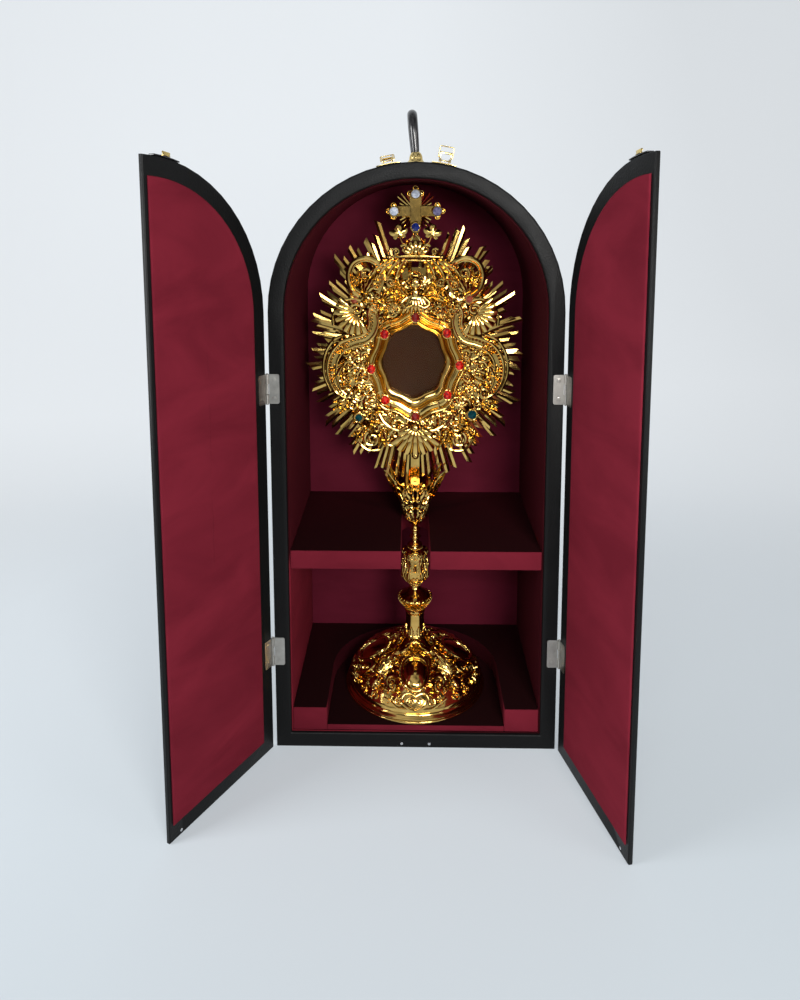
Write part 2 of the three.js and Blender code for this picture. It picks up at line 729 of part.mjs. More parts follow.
// One door with its pad, leaves, magnet and keeper, swung open about its pins
function makeDoor(side, label, openingDeg, leaves) {
  const pivot = new THREE.Group();
  pivot.position.set(side * HINGE_AXIS.x, HINGE_AXIS.y, 0);
  pivot.rotation.z = side * rad(openingDeg);
  part.add(pivot);
  const door = new THREE.Group();
  door.position.set(-side * HINGE_AXIS.x, -HINGE_AXIS.y, 0);
  pivot.add(door);

  const meeting = DOOR_MEETING_GAP / 2;
  const outline = halfArch(side, HALF_WIDTH, meeting, DOOR_BOTTOM);
  const tools = Object.values(HINGE_HEIGHTS).map((z) =>
    box(
      [side * (HALF_WIDTH + 1), side * (HINGE_AXIS.x - LEAF_WIDTH - SEAT)],
      [DOOR_INNER - LEAF_THICKNESS - SEAT, DOOR_INNER + 1],
      [z - LEAF_HEIGHT / 2 - SEAT, z + LEAF_HEIGHT / 2 + SEAT],
    ),
  );
  const magnetX = side * MAGNET_OFFSET;
  const magnetBack = DOOR_INNER - MAGNET_THICKNESS;
  tools.push(
    rod(
      MAGNET_RADIUS + SEAT,
      [magnetX, magnetBack - SEAT, MAGNET_HEIGHT],
      [magnetX, DOOR_INNER + 1, MAGNET_HEIGHT],
    ),
  );
  const halfSegments = ARCH_SEGMENTS / 2;
  const panel = slab(outline, DOOR_OUTER, DOOR_INNER, DOOR_EDGE_ROUNDING, halfSegments);
  piece(door, `door_panel_${label}`, "leatherette", cut(panel, ...tools));
  const padOutline = halfArch(
    side,
    HALF_WIDTH - PAD_BORDER,
    meeting + PAD_MEETING_BORDER,
    PAD_BORDER,
  );
  const padFace = DOOR_INNER + PAD_THICKNESS + SEAT;
  piece(
    door,
    `door_pad_${label}`,
    "velvet",
    slab(padOutline, DOOR_INNER + SEAT, padFace, PAD_ROUNDING, halfSegments),
  );
  const disc = rod(
    MAGNET_RADIUS,
    [magnetX, magnetBack, MAGNET_HEIGHT],
    [magnetX, DOOR_INNER, MAGNET_HEIGHT],
  );
  piece(door, `door_magnet_${label}`, "steel", disc);
  for (const [level, leaf] of Object.entries(leaves)) {
    piece(door, `hinge_door_leaf_${label}_${level}`, "nickel", leaf);
  }
  makeKeeper(door, side, label);
}

function makeHingesAndDoors() {
  for (const [side, label, openingDeg] of [
    [-1, "left", LEFT_DOOR_OPENING_DEG],
    [1, "right", RIGHT_DOOR_OPENING_DEG],
  ]) {
    const leaves = {};
    for (const [level, z] of Object.entries(HINGE_HEIGHTS)) {
      const { caseLeaf, doorLeaf, pin } = hingeParts(side, z);
      piece(part, `hinge_case_leaf_${label}_${level}`, "nickel", caseLeaf);
      piece(part, `hinge_pin_${label}_${level}`, "nickel", pin);
      leaves[level] = doorLeaf;
    }
    makeDoor(side, label, openingDeg, leaves);
    const disc = rod(
      MAGNET_RADIUS,
      [side * MAGNET_OFFSET, FRONT, MAGNET_HEIGHT],
      [side * MAGNET_OFFSET, FRONT + MAGNET_THICKNESS, MAGNET_HEIGHT],
    );
    piece(part, `case_magnet_${label}`, "steel", disc);
  }
}

// Bell-shaped posts, slotted for the handle's tangs, and the bail that swings sideways on them
function makeHandle() {
  const pivotZ = CASE_HEIGHT + HANDLE_PIVOT_HEIGHT;
  const slotHalf = TANG_THICKNESS / 2 + RUNNING;
  for (const [end, label] of [
    [-1, "front"],
    [1, "rear"],
  ]) {
    const y = (end * HANDLE_SPAN) / 2;
    const bell = turned(
      [
        [0, -POST_STUD_LENGTH],
        [POST_STUD_RADIUS, -POST_STUD_LENGTH],
        [POST_STUD_RADIUS, SEAT],
        [POST_FLANGE_RADIUS, SEAT],
        [POST_FLANGE_RADIUS, POST_FLANGE_THICKNESS],
        [POST_RADIUS * 1.17, 2 * POST_FLANGE_THICKNESS],
        [POST_RADIUS, 0.3 * POST_HEIGHT],
        [POST_RADIUS * 0.96, 0.6 * POST_HEIGHT],
        [POST_RADIUS * 0.8, 0.85 * POST_HEIGHT],
        [POST_RADIUS * 0.5, POST_HEIGHT],
        [0, POST_HEIGHT],
      ],
      POST_SEGMENTS,
    ).translate(0, y, CASE_HEIGHT);
    const slot = box(
      [-POST_FLANGE_RADIUS, POST_FLANGE_RADIUS],
      [y - slotHalf, y + slotHalf],
      [pivotZ - TANG_WIDTH / 2 - RUNNING, CASE_HEIGHT + POST_HEIGHT + 1],
    );
    const crossPin = rod(
      HANDLE_PIN_RADIUS,
      [0, y - slotHalf - 1, pivotZ],
      [0, y + slotHalf + 1, pivotZ],
    );
    piece(part, `handle_post_${label}`, "brass", join(cut(bell, slot), crossPin));
  }

  const pivot = new THREE.Group();
  pivot.position.set(0, 0, pivotZ);
  pivot.rotation.y = -rad(HANDLE_LEAN_DEG);
  part.add(pivot);
  const legTop = HANDLE_RISE - HANDLE_PIVOT_HEIGHT - GRIP_RADIUS;
  const legX = HANDLE_SPAN / 2;
  const bend = HANDLE_BEND_RADIUS;
  const path = new THREE.CurvePath();
  const point = (y, z) => new THREE.Vector3(0, y, z);
  path.add(new THREE.LineCurve3(point(-legX, TANG_LENGTH), point(-legX, legTop - bend)));
  path.add(
    new THREE.QuadraticBezierCurve3(
      point(-legX, legTop - bend),
      point(-legX, legTop),
      point(bend - legX, legTop),
    ),
  );
  path.add(new THREE.LineCurve3(point(bend - legX, legTop), point(legX - bend, legTop)));
  path.add(
    new THREE.QuadraticBezierCurve3(
      point(legX - bend, legTop),
      point(legX, legTop),
      point(legX, legTop - bend),
    ),
  );
  path.add(new THREE.LineCurve3(point(legX, legTop - bend), point(legX, TANG_LENGTH)));
  const gripRadius = (t) =>
    LEG_RADIUS + (GRIP_RADIUS - LEG_RADIUS) * Math.sin(Math.PI * t) ** 0.6;
  const bail = sweptBar(path, gripRadius, [1, 0, 0], HANDLE_STEPS, HANDLE_SIDES);
  const tangs = [-legX, legX].map((y) =>
    join(
      rod(TANG_WIDTH / 2, [0, y - TANG_THICKNESS / 2, 0], [0, y + TANG_THICKNESS / 2, 0], 16),
      box(
        [-TANG_WIDTH / 2, TANG_WIDTH / 2],
        [y - TANG_THICKNESS / 2, y + TANG_THICKNESS / 2],
        [0, TANG_LENGTH + 1],
      ),
    ),
  );
  const bores = [-legX, legX].map((y) =>
    rod(HANDLE_PIN_RADIUS + RUNNING, [0, y - LEG_RADIUS, 0], [0, y + LEG_RADIUS, 0]),
  );
  piece(pivot, "handle_bail", "black", cut(join(bail, ...tangs), ...bores));
}

// Draw latch: plate with two ears, a lever between the loop's legs, and the loop that takes the hook
function makeLatch(side, label, leverDeg) {
  const frame = onArch(part, side, 0);
  const plateFront = FRONT + LATCH_SETBACK;
  const pivotY = FRONT + LATCH_PIVOT_SETBACK;
  const earOutside = EAR_INSIDE + SHEET_THICKNESS;
  const cheekInside = earOutside + LATCH_SIDE_GAP;
  const cheekOutside = cheekInside + SHEET_THICKNESS;
  const loopInside = cheekOutside + LATCH_SIDE_GAP;
  const loopLine = loopInside + LOOP_WIRE_RADIUS;
  const plateTop = SEAT + LATCH_PLATE_THICKNESS;
  const ears = [-1, 1].flatMap((e) => [
    box(
      [e * EAR_INSIDE, e * earOutside],
      [pivotY - EAR_LENGTH / 2, pivotY + EAR_LENGTH / 2],
      [plateTop - 0.5, LATCH_PIVOT_HEIGHT],
    ),
    rod(
      EAR_LENGTH / 2,
      [e * EAR_INSIDE, pivotY, LATCH_PIVOT_HEIGHT],
      [e * earOutside, pivotY, LATCH_PIVOT_HEIGHT],
    ),
  ]);
  const rivet = rod(
    RIVET_RADIUS,
    [-cheekOutside, pivotY, LATCH_PIVOT_HEIGHT],
    [cheekOutside, pivotY, LATCH_PIVOT_HEIGHT],
  );
  const plate = bentPlate(
    LATCH_PLATE_LENGTH,
    SEAT,
    plateTop,
    plateFront,
    plateFront + LATCH_PLATE_DEPTH,
  );
  piece(frame, `latch_plate_${label}`, "brass", join(plate, ...ears, rivet));

  // The lever lies along +Y at zero degrees and stands up at ninety
  const lever = new THREE.Group();
  lever.position.set(0, pivotY, LATCH_PIVOT_HEIGHT);
  lever.rotation.x = rad(leverDeg);
  frame.add(lever);
  const halfCheek = LEVER_CHEEK_WIDTH / 2;
  const cheeks = [-1, 1].flatMap((e) => [
    box([e * cheekInside, e * cheekOutside], [0, LEVER_LENGTH], [-halfCheek, halfCheek]),
    rod(halfCheek, [e * cheekInside, 0, 0], [e * cheekOutside, 0, 0]),
  ]);
  const thumbBar = box(
    [-cheekOutside, cheekOutside],
    [LEVER_LENGTH - THUMB_BAR_LENGTH, LEVER_LENGTH],
    [-halfCheek, halfCheek - SHEET_THICKNESS],
  );
  const across = (radius, y) => rod(radius, [-cheekOutside - 1, y, 0], [cheekOutside + 1, y, 0]);
  const holes = [
    across(RIVET_RADIUS + RUNNING, 0),
    across(LOOP_PIN_RADIUS + RUNNING, LOOP_PIVOT_ALONG_LEVER),
  ];
  piece(lever, `latch_lever_${label}`, "brass", cut(join(...cheeks, thumbBar), ...holes));

  const loop = new THREE.Group();
  loop.position.set(0, LOOP_PIVOT_ALONG_LEVER, 0);
  lever.add(loop);
  const wire = LOOP_WIRE_RADIUS;
  const sides = 6;
  const legs = [-1, 1].flatMap((e) => [
    rod(LOOP_PIN_RADIUS, [e * cheekInside, 0, 0], [e * loopLine, 0, 0], sides),
    rod(wire, [e * loopLine, 0, 0], [e * loopLine, LOOP_LENGTH, 0], sides),
    ball(wire, [e * loopLine, 0, 0], [1, 1, 1], sides),
    ball(wire, [e * loopLine, LOOP_LENGTH, 0], [1, 1, 1], sides),
  ]);
  const bar = rod(wire, [-loopLine, LOOP_LENGTH, 0], [loopLine, LOOP_LENGTH, 0], sides);
  piece(loop, `latch_loop_${label}`, "brass", join(...legs, bar));
}

// Monstrance
const monstrance = new THREE.Group();
monstrance.position.set(0, AXIS_Y, FOOT_Z);
part.add(monstrance);

// How far a lobed form stands out at an angle, from 0 in a hollow to 1 on a lobe that faces front
function lobeAt(turn, lobes) {
  return Math.abs(Math.cos((lobes / 2) * (2 * Math.PI * turn + Math.PI / 2)));
}

// A turned sleeve with a bore, and lobes whose depth follows the middle of its profile
function sleeve(profile, bore, around, lobes = 0, depth = 0) {
  const rings = [...profile, [bore, profile.at(-1)[1]], [bore, profile[0][1]]];
  const last = profile.length - 1;
  const at = (turn, j) => {
    const [radius, z] = rings[j];
    const weight = j <= last ? Math.sin((Math.PI * j) / last) : 0;
    const swell = lobes ? depth * weight * (lobeAt(turn, lobes) - 1) : 0;
    const angle = 2 * Math.PI * turn;
    return [(radius + swell) * Math.cos(angle), (radius + swell) * Math.sin(angle), z];
  };
  return closedSkin(at, around, rings.length);
}

// Stepped rim and lobed dome of the foot, both hollow underneath
function makeFoot() {
  const inside = FOOT_RADIUS - FOOT_RIM_WIDTH;
  const stepShares = [
    [0, 0],
    [0, 0.29],
    [0.17, 0.36],
    [0.13, 0.55],
    [0.37, 0.72],
    [0.58, 1],
  ];
  const steps = stepShares.map(([inset, height]) => [
    FOOT_RADIUS - inset * FOOT_RIM_WIDTH,
    height * FOOT_RIM_HEIGHT,
  ]);
  const profile = [[inside, 0], ...steps, [inside, FOOT_RIM_HEIGHT], [inside, 0]];
  piece(monstrance, "foot_rim", "gold", turned(profile, FOOT_AROUND));

  const rise = FOOT_DOME_HEIGHT - FOOT_RIM_HEIGHT;
  const domeCurve = new THREE.CatmullRomCurve3(
    DOME_PROFILE.map(
      ([r, h]) =>
        new THREE.Vector3(r * FOOT_RADIUS, 0, FOOT_RIM_HEIGHT + SEAT + h * (rise - SEAT)),
    ),
  );
  const rings = 4;
  const section = [];
  for (let i = 0; i <= rings; i++) {
    const t = i / rings;
    const p = domeCurve.getPoint(t);
    const along = domeCurve.getTangent(t);
    section.push({ t, r: p.x, z: p.z });
    section.push({ t, r: p.x - along.z * FOOT_SHEET, z: p.z + along.x * FOOT_SHEET });
  }
  const outer = section.filter((_, i) => i % 2 === 0);
  const inner = section.filter((_, i) => i % 2 === 1).reverse();
  inner.at(-1).z = outer[0].z;
  inner[0].z = outer.at(-1).z;
  const loop = [...outer, ...inner];
  const at = (turn, j) => {
    const { t, r, z } = loop[j];
    const swell = FOOT_LOBE_DEPTH * Math.sin(Math.PI * t) * (2 * lobeAt(turn, FOOT_LOBES) - 1);
    const angle = 2 * Math.PI * turn;
    return [(r + swell) * Math.cos(angle), (r + swell) * Math.sin(angle), z + swell / 2];
  };
  const dome = closedSkin(at, FOOT_AROUND, loop.length);
  const bossPoint = domeCurve.getPoint(BOSS_PLACE);
  const bosses = Array.from({ length: FOOT_BOSSES }, (_, k) =>
    ball(FOOT_BOSS_SIZE, [0, 0, 0], [1, 0.42, 0.86], 8)
      .rotateX(-BOSS_TILT)
      .translate(0, -bossPoint.x, bossPoint.z)
      .rotateZ((k * 2 * Math.PI) / FOOT_BOSSES),
  );
  piece(monstrance, "foot_dome", "gold", join(dome, ...bosses));
}

// Threaded tie rod through the stem, with its nut under the foot, and the sleeves that it clamps
function makeStem() {
  const bore = ROD_RADIUS + RUNNING;
  const nutZ = FOOT_DOME_HEIGHT - FOOT_SHEET;
  const tie = join(
    rod(ROD_RADIUS, [0, 0, nutZ - ROD_NUT_HEIGHT - ROD_END], [0, 0, CALYX_TOP - CALYX_SOCKET - SEAT]),
    rod(ROD_NUT_RADIUS, [0, 0, nutZ - ROD_NUT_HEIGHT - SEAT], [0, 0, nutZ - SEAT], 6),
  );
  piece(monstrance, "tie_rod", "gold", tie);
  const fitted = (low, high, radius, shares) =>
    shares.map(([r, h]) => [radius * r, low + h * (high - low)]);
  const stand = (name, low, high, radius, shares, ...lobing) =>
    piece(monstrance, name, "gold", sleeve(fitted(low + SEAT, high, radius, shares), bore, ...lobing));
  const shaft = [
    [1.22, 0],
    [1.27, 0.05],
    [1.07, 0.12],
    [0.985, 0.37],
    [0.94, 0.7],
    [1, 0.87],
    [1.09, 0.95],
    [1.06, 1],
  ];
  stand("stem_shaft", FOOT_DOME_HEIGHT, SHAFT_TOP, SHAFT_RADIUS, shaft, 16);
  const knop = [
    [0.41, 0],
    [0.69, 0.1],
    [0.95, 0.25],
    [1, 0.36],
    [0.82, 0.52],
    [0.49, 0.66],
    [0.26, 0.78],
    [0.3, 1],
  ];
  stand("stem_knop", SHAFT_TOP, KNOP_TOP, KNOP_RADIUS, knop, 24, KNOP_LOBES, KNOP_LOBE_DEPTH);
  const baluster = [
    [0.35, 0],
    [0.6, 0.05],
    [0.9, 0.16],
    [1, 0.31],
    [0.93, 0.51],
    [0.82, 0.72],
    [0.85, 0.87],
    [0.55, 0.94],
    [0.45, 1],
  ];
  stand("stem_baluster", KNOP_TOP, BALUSTER_TOP, BALUSTER_RADIUS, baluster, 16);
  const collar = [
    [0.87, 0],
    [1, 0.06],
    [0.52, 0.2],
    [0.5, 0.28],
    [0.79, 0.37],
    [0.48, 0.5],
    [0.48, 0.6],
    [0.73, 0.68],
    [0.5, 0.78],
    [0.62, 0.88],
    [0.96, 1],
  ];
  stand("stem_collar", BALUSTER_TOP, COLLAR_TOP, COLLAR_RADIUS, collar, 12);
  const calyxShares = [
    [0.35, 0],
    [0.48, 0.1],
    [0.7, 0.28],
    [0.73, 0.5],
    [0.8, 0.75],
    [1, 0.97],
    [0.93, 1],
  ];
  const calyx = fitted(COLLAR_TOP + SEAT, CALYX_TOP, CALYX_RADIUS, calyxShares);
  const socket = box(
    [-TANG_PLATE_WIDTH / 2 - SEAT, TANG_PLATE_WIDTH / 2 + SEAT],
    [-SUN_FRONT - SEAT, SUN_THICKNESS - SUN_FRONT + SEAT],
    [CALYX_TOP - CALYX_SOCKET, CALYX_TOP + 1],
  );
  piece(
    monstrance,
    "stem_calyx",
    "gold",
    cut(sleeve(calyx, bore, 24, CALYX_LEAVES, CALYX_LEAF_DEPTH), socket),
  );
}

// A point on an ellipse about a centre on the monstrance's middle line
function onEllipse(angle, halfWidth, halfHeight, y, centreZ) {
  return [halfWidth * Math.cos(angle), y, centreZ + halfHeight * Math.sin(angle)];
}

// Sunburst: one pierced plate of ridged rays, with the tang that stands in the calyx
function makeSunburst() {
  const front = -SUN_FRONT;
  const back = SUN_THICKNESS - SUN_FRONT;
  const positions = [];
  const index = [];
  const ring = (make) =>
    Array.from({ length: RAY_COUNT }, (_, i) => {
      positions.push(...make(i));
      return positions.length / 3 - 1;
    });
  const step = (2 * Math.PI) / RAY_COUNT;
  const valleyAngle = (i) => (i - 0.5) * step;
  const rayAngle = (i) => i * step;
  const reach = (i) => {
    const fromTop = Math.abs(Math.PI / 2 - rayAngle(i));
    const behindCrest = fromTop < rad(CREST_HALF_ANGLE_DEG);
    return behindCrest ? CREST_RAY_LENGTH : RAY_LENGTHS[i % RAY_LENGTHS.length];
  };
  const rim = (angle, share, y) =>
    onEllipse(angle, SUN_RIM_HALF_WIDTH * share, SUN_RIM_HALF_HEIGHT * share, y, SUN_HEIGHT);
  const lens = (angle, y) =>
    onEllipse(
      angle,
      LENS_HALF_WIDTH + GLASS_LAP + SEAT,
      LENS_HALF_HEIGHT + GLASS_LAP + SEAT,
      y,
      LUNA_HEIGHT,
    );
  const tip = (i, y) =>
    onEllipse(
      rayAngle(i),
      SUN_HALF_WIDTH * reach(i),
      SUN_HALF_HEIGHT * reach(i),
      y,
      SUN_HEIGHT,
    );
  const middle = (front + back) / 2;
  const V = ring((i) => rim(valleyAngle(i), 1, front + RIDGE));
  const T = ring((i) => tip(i, middle - RAY_EDGE / 2));
  const B = ring((i) => rim(rayAngle(i), 0.9, front));
  const I = ring((i) => lens(rayAngle(i), front));
  const Vb = ring((i) => rim(valleyAngle(i), 1, back));
  const Tb = ring((i) => tip(i, middle + RAY_EDGE / 2));
  const Ib = ring((i) => lens(rayAngle(i), back));
  for (let i = 0; i < RAY_COUNT; i++) {
    const n = (i + 1) % RAY_COUNT;
    index.push(V[i], T[i], B[i], T[i], V[n], B[i], V[n], B[n], B[i]);
    index.push(B[i], B[n], I[i], B[n], I[n], I[i]);
    index.push(Vb[n], Tb[i], Vb[i], Vb[i], Ib[i], Vb[n], Vb[n], Ib[i], Ib[n]);
    index.push(V[i], Vb[i], Tb[i], V[i], Tb[i], T[i]);
    index.push(T[i], Tb[i], Vb[n], T[i], Vb[n], V[n]);
    index.push(I[i], Ib[n], Ib[i], I[i], I[n], Ib[n]);
  }
  const plate = body(positions, index);
  const tang = box(
    [-TANG_PLATE_WIDTH / 2, TANG_PLATE_WIDTH / 2],
    [front + RIDGE, back],
    [CALYX_TOP - CALYX_SOCKET + SEAT, SUN_HEIGHT - SUN_RIM_HALF_HEIGHT + TANG_PLATE_LAP],
  );
  const lugs = [-1, 1].flatMap((e) => {
    const near = LUNA_HEIGHT + e * (LUNA_KNUCKLE_LENGTH / 2 + RUNNING);
    const far = near + e * LUNA_LUG_LENGTH;
    return [
      rod(LUNA_KNUCKLE_RADIUS, [LUNA_HINGE.x, LUNA_HINGE.y, near], [LUNA_HINGE.x, LUNA_HINGE.y, far]),
      box(
        [LUNA_HINGE.x - LUNA_PIN_RADIUS, LUNA_HINGE.x + LUNA_KNUCKLE_RADIUS],
        [back - 0.5, LUNA_HINGE.y],
        [near, far],
      ),
    ];
  });
  const half = LUNA_KNUCKLE_LENGTH / 2 + RUNNING + 1;
  const pin = rod(
    LUNA_PIN_RADIUS,
    [LUNA_HINGE.x, LUNA_HINGE.y, LUNA_HEIGHT - half],
    [LUNA_HINGE.x, LUNA_HINGE.y, LUNA_HEIGHT + half],
  );
  piece(monstrance, "sunburst", "gold", join(plate, tang, ...lugs, pin));
}

// Lobed luna frame with its collets, the front glass behind it, and the hinged glazed door at the back
function makeLuna() {
  const back = -SUN_FRONT - SEAT;
  const steps = [
    [0, 0],
    [0, 0.35],
    [0.12, 0.75],
    [0.28, 0.7],
    [0.4, 0.5],
    [0.6, 1],
    [0.86, 0.4],
    [1, 0.25],
    [1, 0],
  ];
  const at = (turn, j) => {
    const angle = 2 * Math.PI * turn;
    const [across, forward] = steps[j];
    const lobe = 1 + LUNA_LOBE_DEPTH * (0.35 + 0.65 * across) * Math.cos(LUNA_LOBES * angle);
    return onEllipse(
      angle,
      (LENS_HALF_WIDTH + across * LUNA_WIDTH) * lobe,
      (LENS_HALF_HEIGHT + across * LUNA_RISE) * lobe,
      back - forward * LUNA_DEPTH,
      LUNA_HEIGHT,
    );
  };
  const collets = Array.from({ length: LUNA_LOBES }, (_, k) => {
    const angle = (k * 2 * Math.PI) / LUNA_LOBES;
    const [x, , z] = onEllipse(
      angle,
      LENS_HALF_WIDTH + COLLET_PLACE * LUNA_WIDTH,
      LENS_HALF_HEIGHT + COLLET_PLACE * LUNA_RISE,
      0,
      LUNA_HEIGHT,
    );
    return rod(
      COLLET_RADIUS,
      [x, back - LUNA_DEPTH / 2, z],
      [x, back - LUNA_DEPTH - COLLET_DEPTH, z],
    );
  });
  const frame = closedSkin(at, LUNA_SEGMENTS, steps.length);
  piece(monstrance, "luna_frame", "gold", join(frame, ...collets));

  const pane = (halfWidth, halfHeight, y) => {
    const shape = new THREE.Shape();
    shape.absellipse(0, LUNA_HEIGHT, halfWidth, halfHeight, 0, 2 * Math.PI, false);
    return slab(shape, y, y + GLASS_THICKNESS, 0, GLASS_SEGMENTS);
  };
  const glassWidth = LENS_HALF_WIDTH + GLASS_LAP;
  const glassHeight = LENS_HALF_HEIGHT + GLASS_LAP;
  piece(monstrance, "luna_glass_front", "glass", pane(glassWidth, glassHeight, back + 2 * SEAT));

  const doorFront = SUN_THICKNESS - SUN_FRONT + SEAT;
  const doorBack = doorFront + LUNA_DOOR_THICKNESS;
  const rebate = doorFront + GLASS_THICKNESS + SEAT;
  const rings = [
    [0, doorBack],
    [0, rebate],
    [GLASS_LAP, rebate],
    [GLASS_LAP, doorFront],
    [LUNA_DOOR_WIDTH, doorFront],
    [LUNA_DOOR_WIDTH, doorBack - LUNA_DOOR_CHAMFER / 2],
    [LUNA_DOOR_WIDTH - LUNA_DOOR_CHAMFER, doorBack],
  ];
  const doorAt = (turn, j) =>
    onEllipse(
      2 * Math.PI * turn,
      LENS_HALF_WIDTH + rings[j][0],
      LENS_HALF_HEIGHT + rings[j][0],
      rings[j][1],
      LUNA_HEIGHT,
    );
  const knuckle = [-LUNA_KNUCKLE_LENGTH / 2, LUNA_KNUCKLE_LENGTH / 2].map((z) => LUNA_HEIGHT + z);
  const barrel = rod(
    LUNA_KNUCKLE_RADIUS,
    [LUNA_HINGE.x, LUNA_HINGE.y, knuckle[0]],
    [LUNA_HINGE.x, LUNA_HINGE.y, knuckle[1]],
  );
  const tab = box(
    [LUNA_HINGE.x - LUNA_TAB_LENGTH, LUNA_HINGE.x],
    [LUNA_HINGE.y - LUNA_TAB_THICKNESS / 2, LUNA_HINGE.y + LUNA_TAB_THICKNESS / 2],
    knuckle,
  );
  const bore = rod(
    LUNA_PIN_RADIUS + RUNNING,
    [LUNA_HINGE.x, LUNA_HINGE.y, knuckle[0] - 1],
    [LUNA_HINGE.x, LUNA_HINGE.y, knuckle[1] + 1],
  );
  const door = closedSkin(doorAt, 22, rings.length);
  piece(monstrance, "luna_door", "gold", cut(join(door, barrel, tab), bore));
  piece(
    monstrance,
    "luna_glass_rear",
    "glass",
    pane(glassWidth - 2 * SEAT, glassHeight - 2 * SEAT, doorFront),
  );
}

// Cast wreath round the luna: a swelling ring, scrolls, shells, a palmette below and a crest above
function makeWreath() {
  const back = -SUN_FRONT - SEAT;
  const lobed = 1 + LUNA_LOBE_DEPTH;
  const halfWidth = (LENS_HALF_WIDTH + LUNA_WIDTH) * lobed + WREATH_GAP;
  const halfHeight = (LENS_HALF_HEIGHT + LUNA_RISE) * lobed + WREATH_GAP;
  const section = [
    [0, 0],
    [0.06, 0.55],
    [0.4, 0.95],
    [0.95, 0.5],
    [1, 0],
  ];
  const ringAt = (turn, j) => {
    const angle = 2 * Math.PI * turn;
    const [across, forward] = section[j];
    const width = WREATH_WIDTH + WREATH_WAVE_DEPTH * Math.cos(WREATH_WAVES * angle);
    return onEllipse(
      angle,
      halfWidth + across * width,
      halfHeight + across * width,
      back - forward * WREATH_DEPTH,
      LUNA_HEIGHT,
    );
  };
  const forms = [closedSkin(ringAt, WREATH_AROUND, section.length)];
  const placed = (side, { out, up }) => ({ x: side * out * halfWidth, z: LUNA_HEIGHT + up * halfHeight });
  const scroll = (side, { radius, from, to, ...place }) => {
    const { x, z } = placed(side, place);
    const points = Array.from({ length: SCROLL_POINTS }, (_, k) => {
      const turn = rad(from + ((to - from) * k) / (SCROLL_POINTS - 1));
      const dx = side * radius * Math.cos(turn);
      return new THREE.Vector3(x + dx, back - SCROLL_STANDOFF, z + radius * Math.sin(turn));
    });
    const wire = (t) => SCROLL_WIRE * (0.7 + 0.3 * Math.sin(Math.PI * t));
    forms.push(sweptBar(new THREE.CatmullRomCurve3(points), wire, [0, 1, 0], SCROLL_POINTS, 5));
  };
  const rounded = (side, place, radius, depth, height) => {
    const { x, z } = placed(side, place);
    forms.push(ball(radius, [x, back - WREATH_SEAT, z], [1, depth, height], 8));
  };
  for (const side of [-1, 1]) {
    for (const shape of [SIDE_SCROLL, UPPER_SCROLL, LOWER_SCROLL]) scroll(side, shape);
    rounded(side, SHELL, SHELL.radius, 0.5, 0.85);
    const wing = placed(side, WING);
    forms.push(
      ball(WING.length, [0, 0, 0], [1, 0.4, 0.42], 8)
        .rotateY(-side * rad(WING.tilt))
        .translate(wing.x, back - WREATH_SEAT, wing.z),
    );
  }
  const palmette = placed(0, { out: 0, ...PALMETTE });
  for (let k = 0; k < PALMETTE.ribs; k++) {
    const fan = (k - (PALMETTE.ribs - 1) / 2) * PALMETTE.spacing;
    forms.push(
      ball(PALMETTE.length, [0, 0, -0.75 * PALMETTE.length], [0.36, 0.5, 1], 6)
        .rotateY(rad(fan))
        .translate(0, back - WREATH_SEAT, palmette.z),
    );
  }
  for (const { up, radius, depth, height } of CREST) {
    rounded(0, { out: 0, up }, radius, depth, height);
  }
  const behind = box(
    [-SUN_HALF_WIDTH, SUN_HALF_WIDTH],
    [back, back + SUN_HALF_WIDTH],
    [SUN_HEIGHT - SUN_HALF_HEIGHT, SUN_HEIGHT + SUN_HALF_HEIGHT],
  );
  piece(monstrance, "wreath", "gold", cut(join(...forms), behind));
}

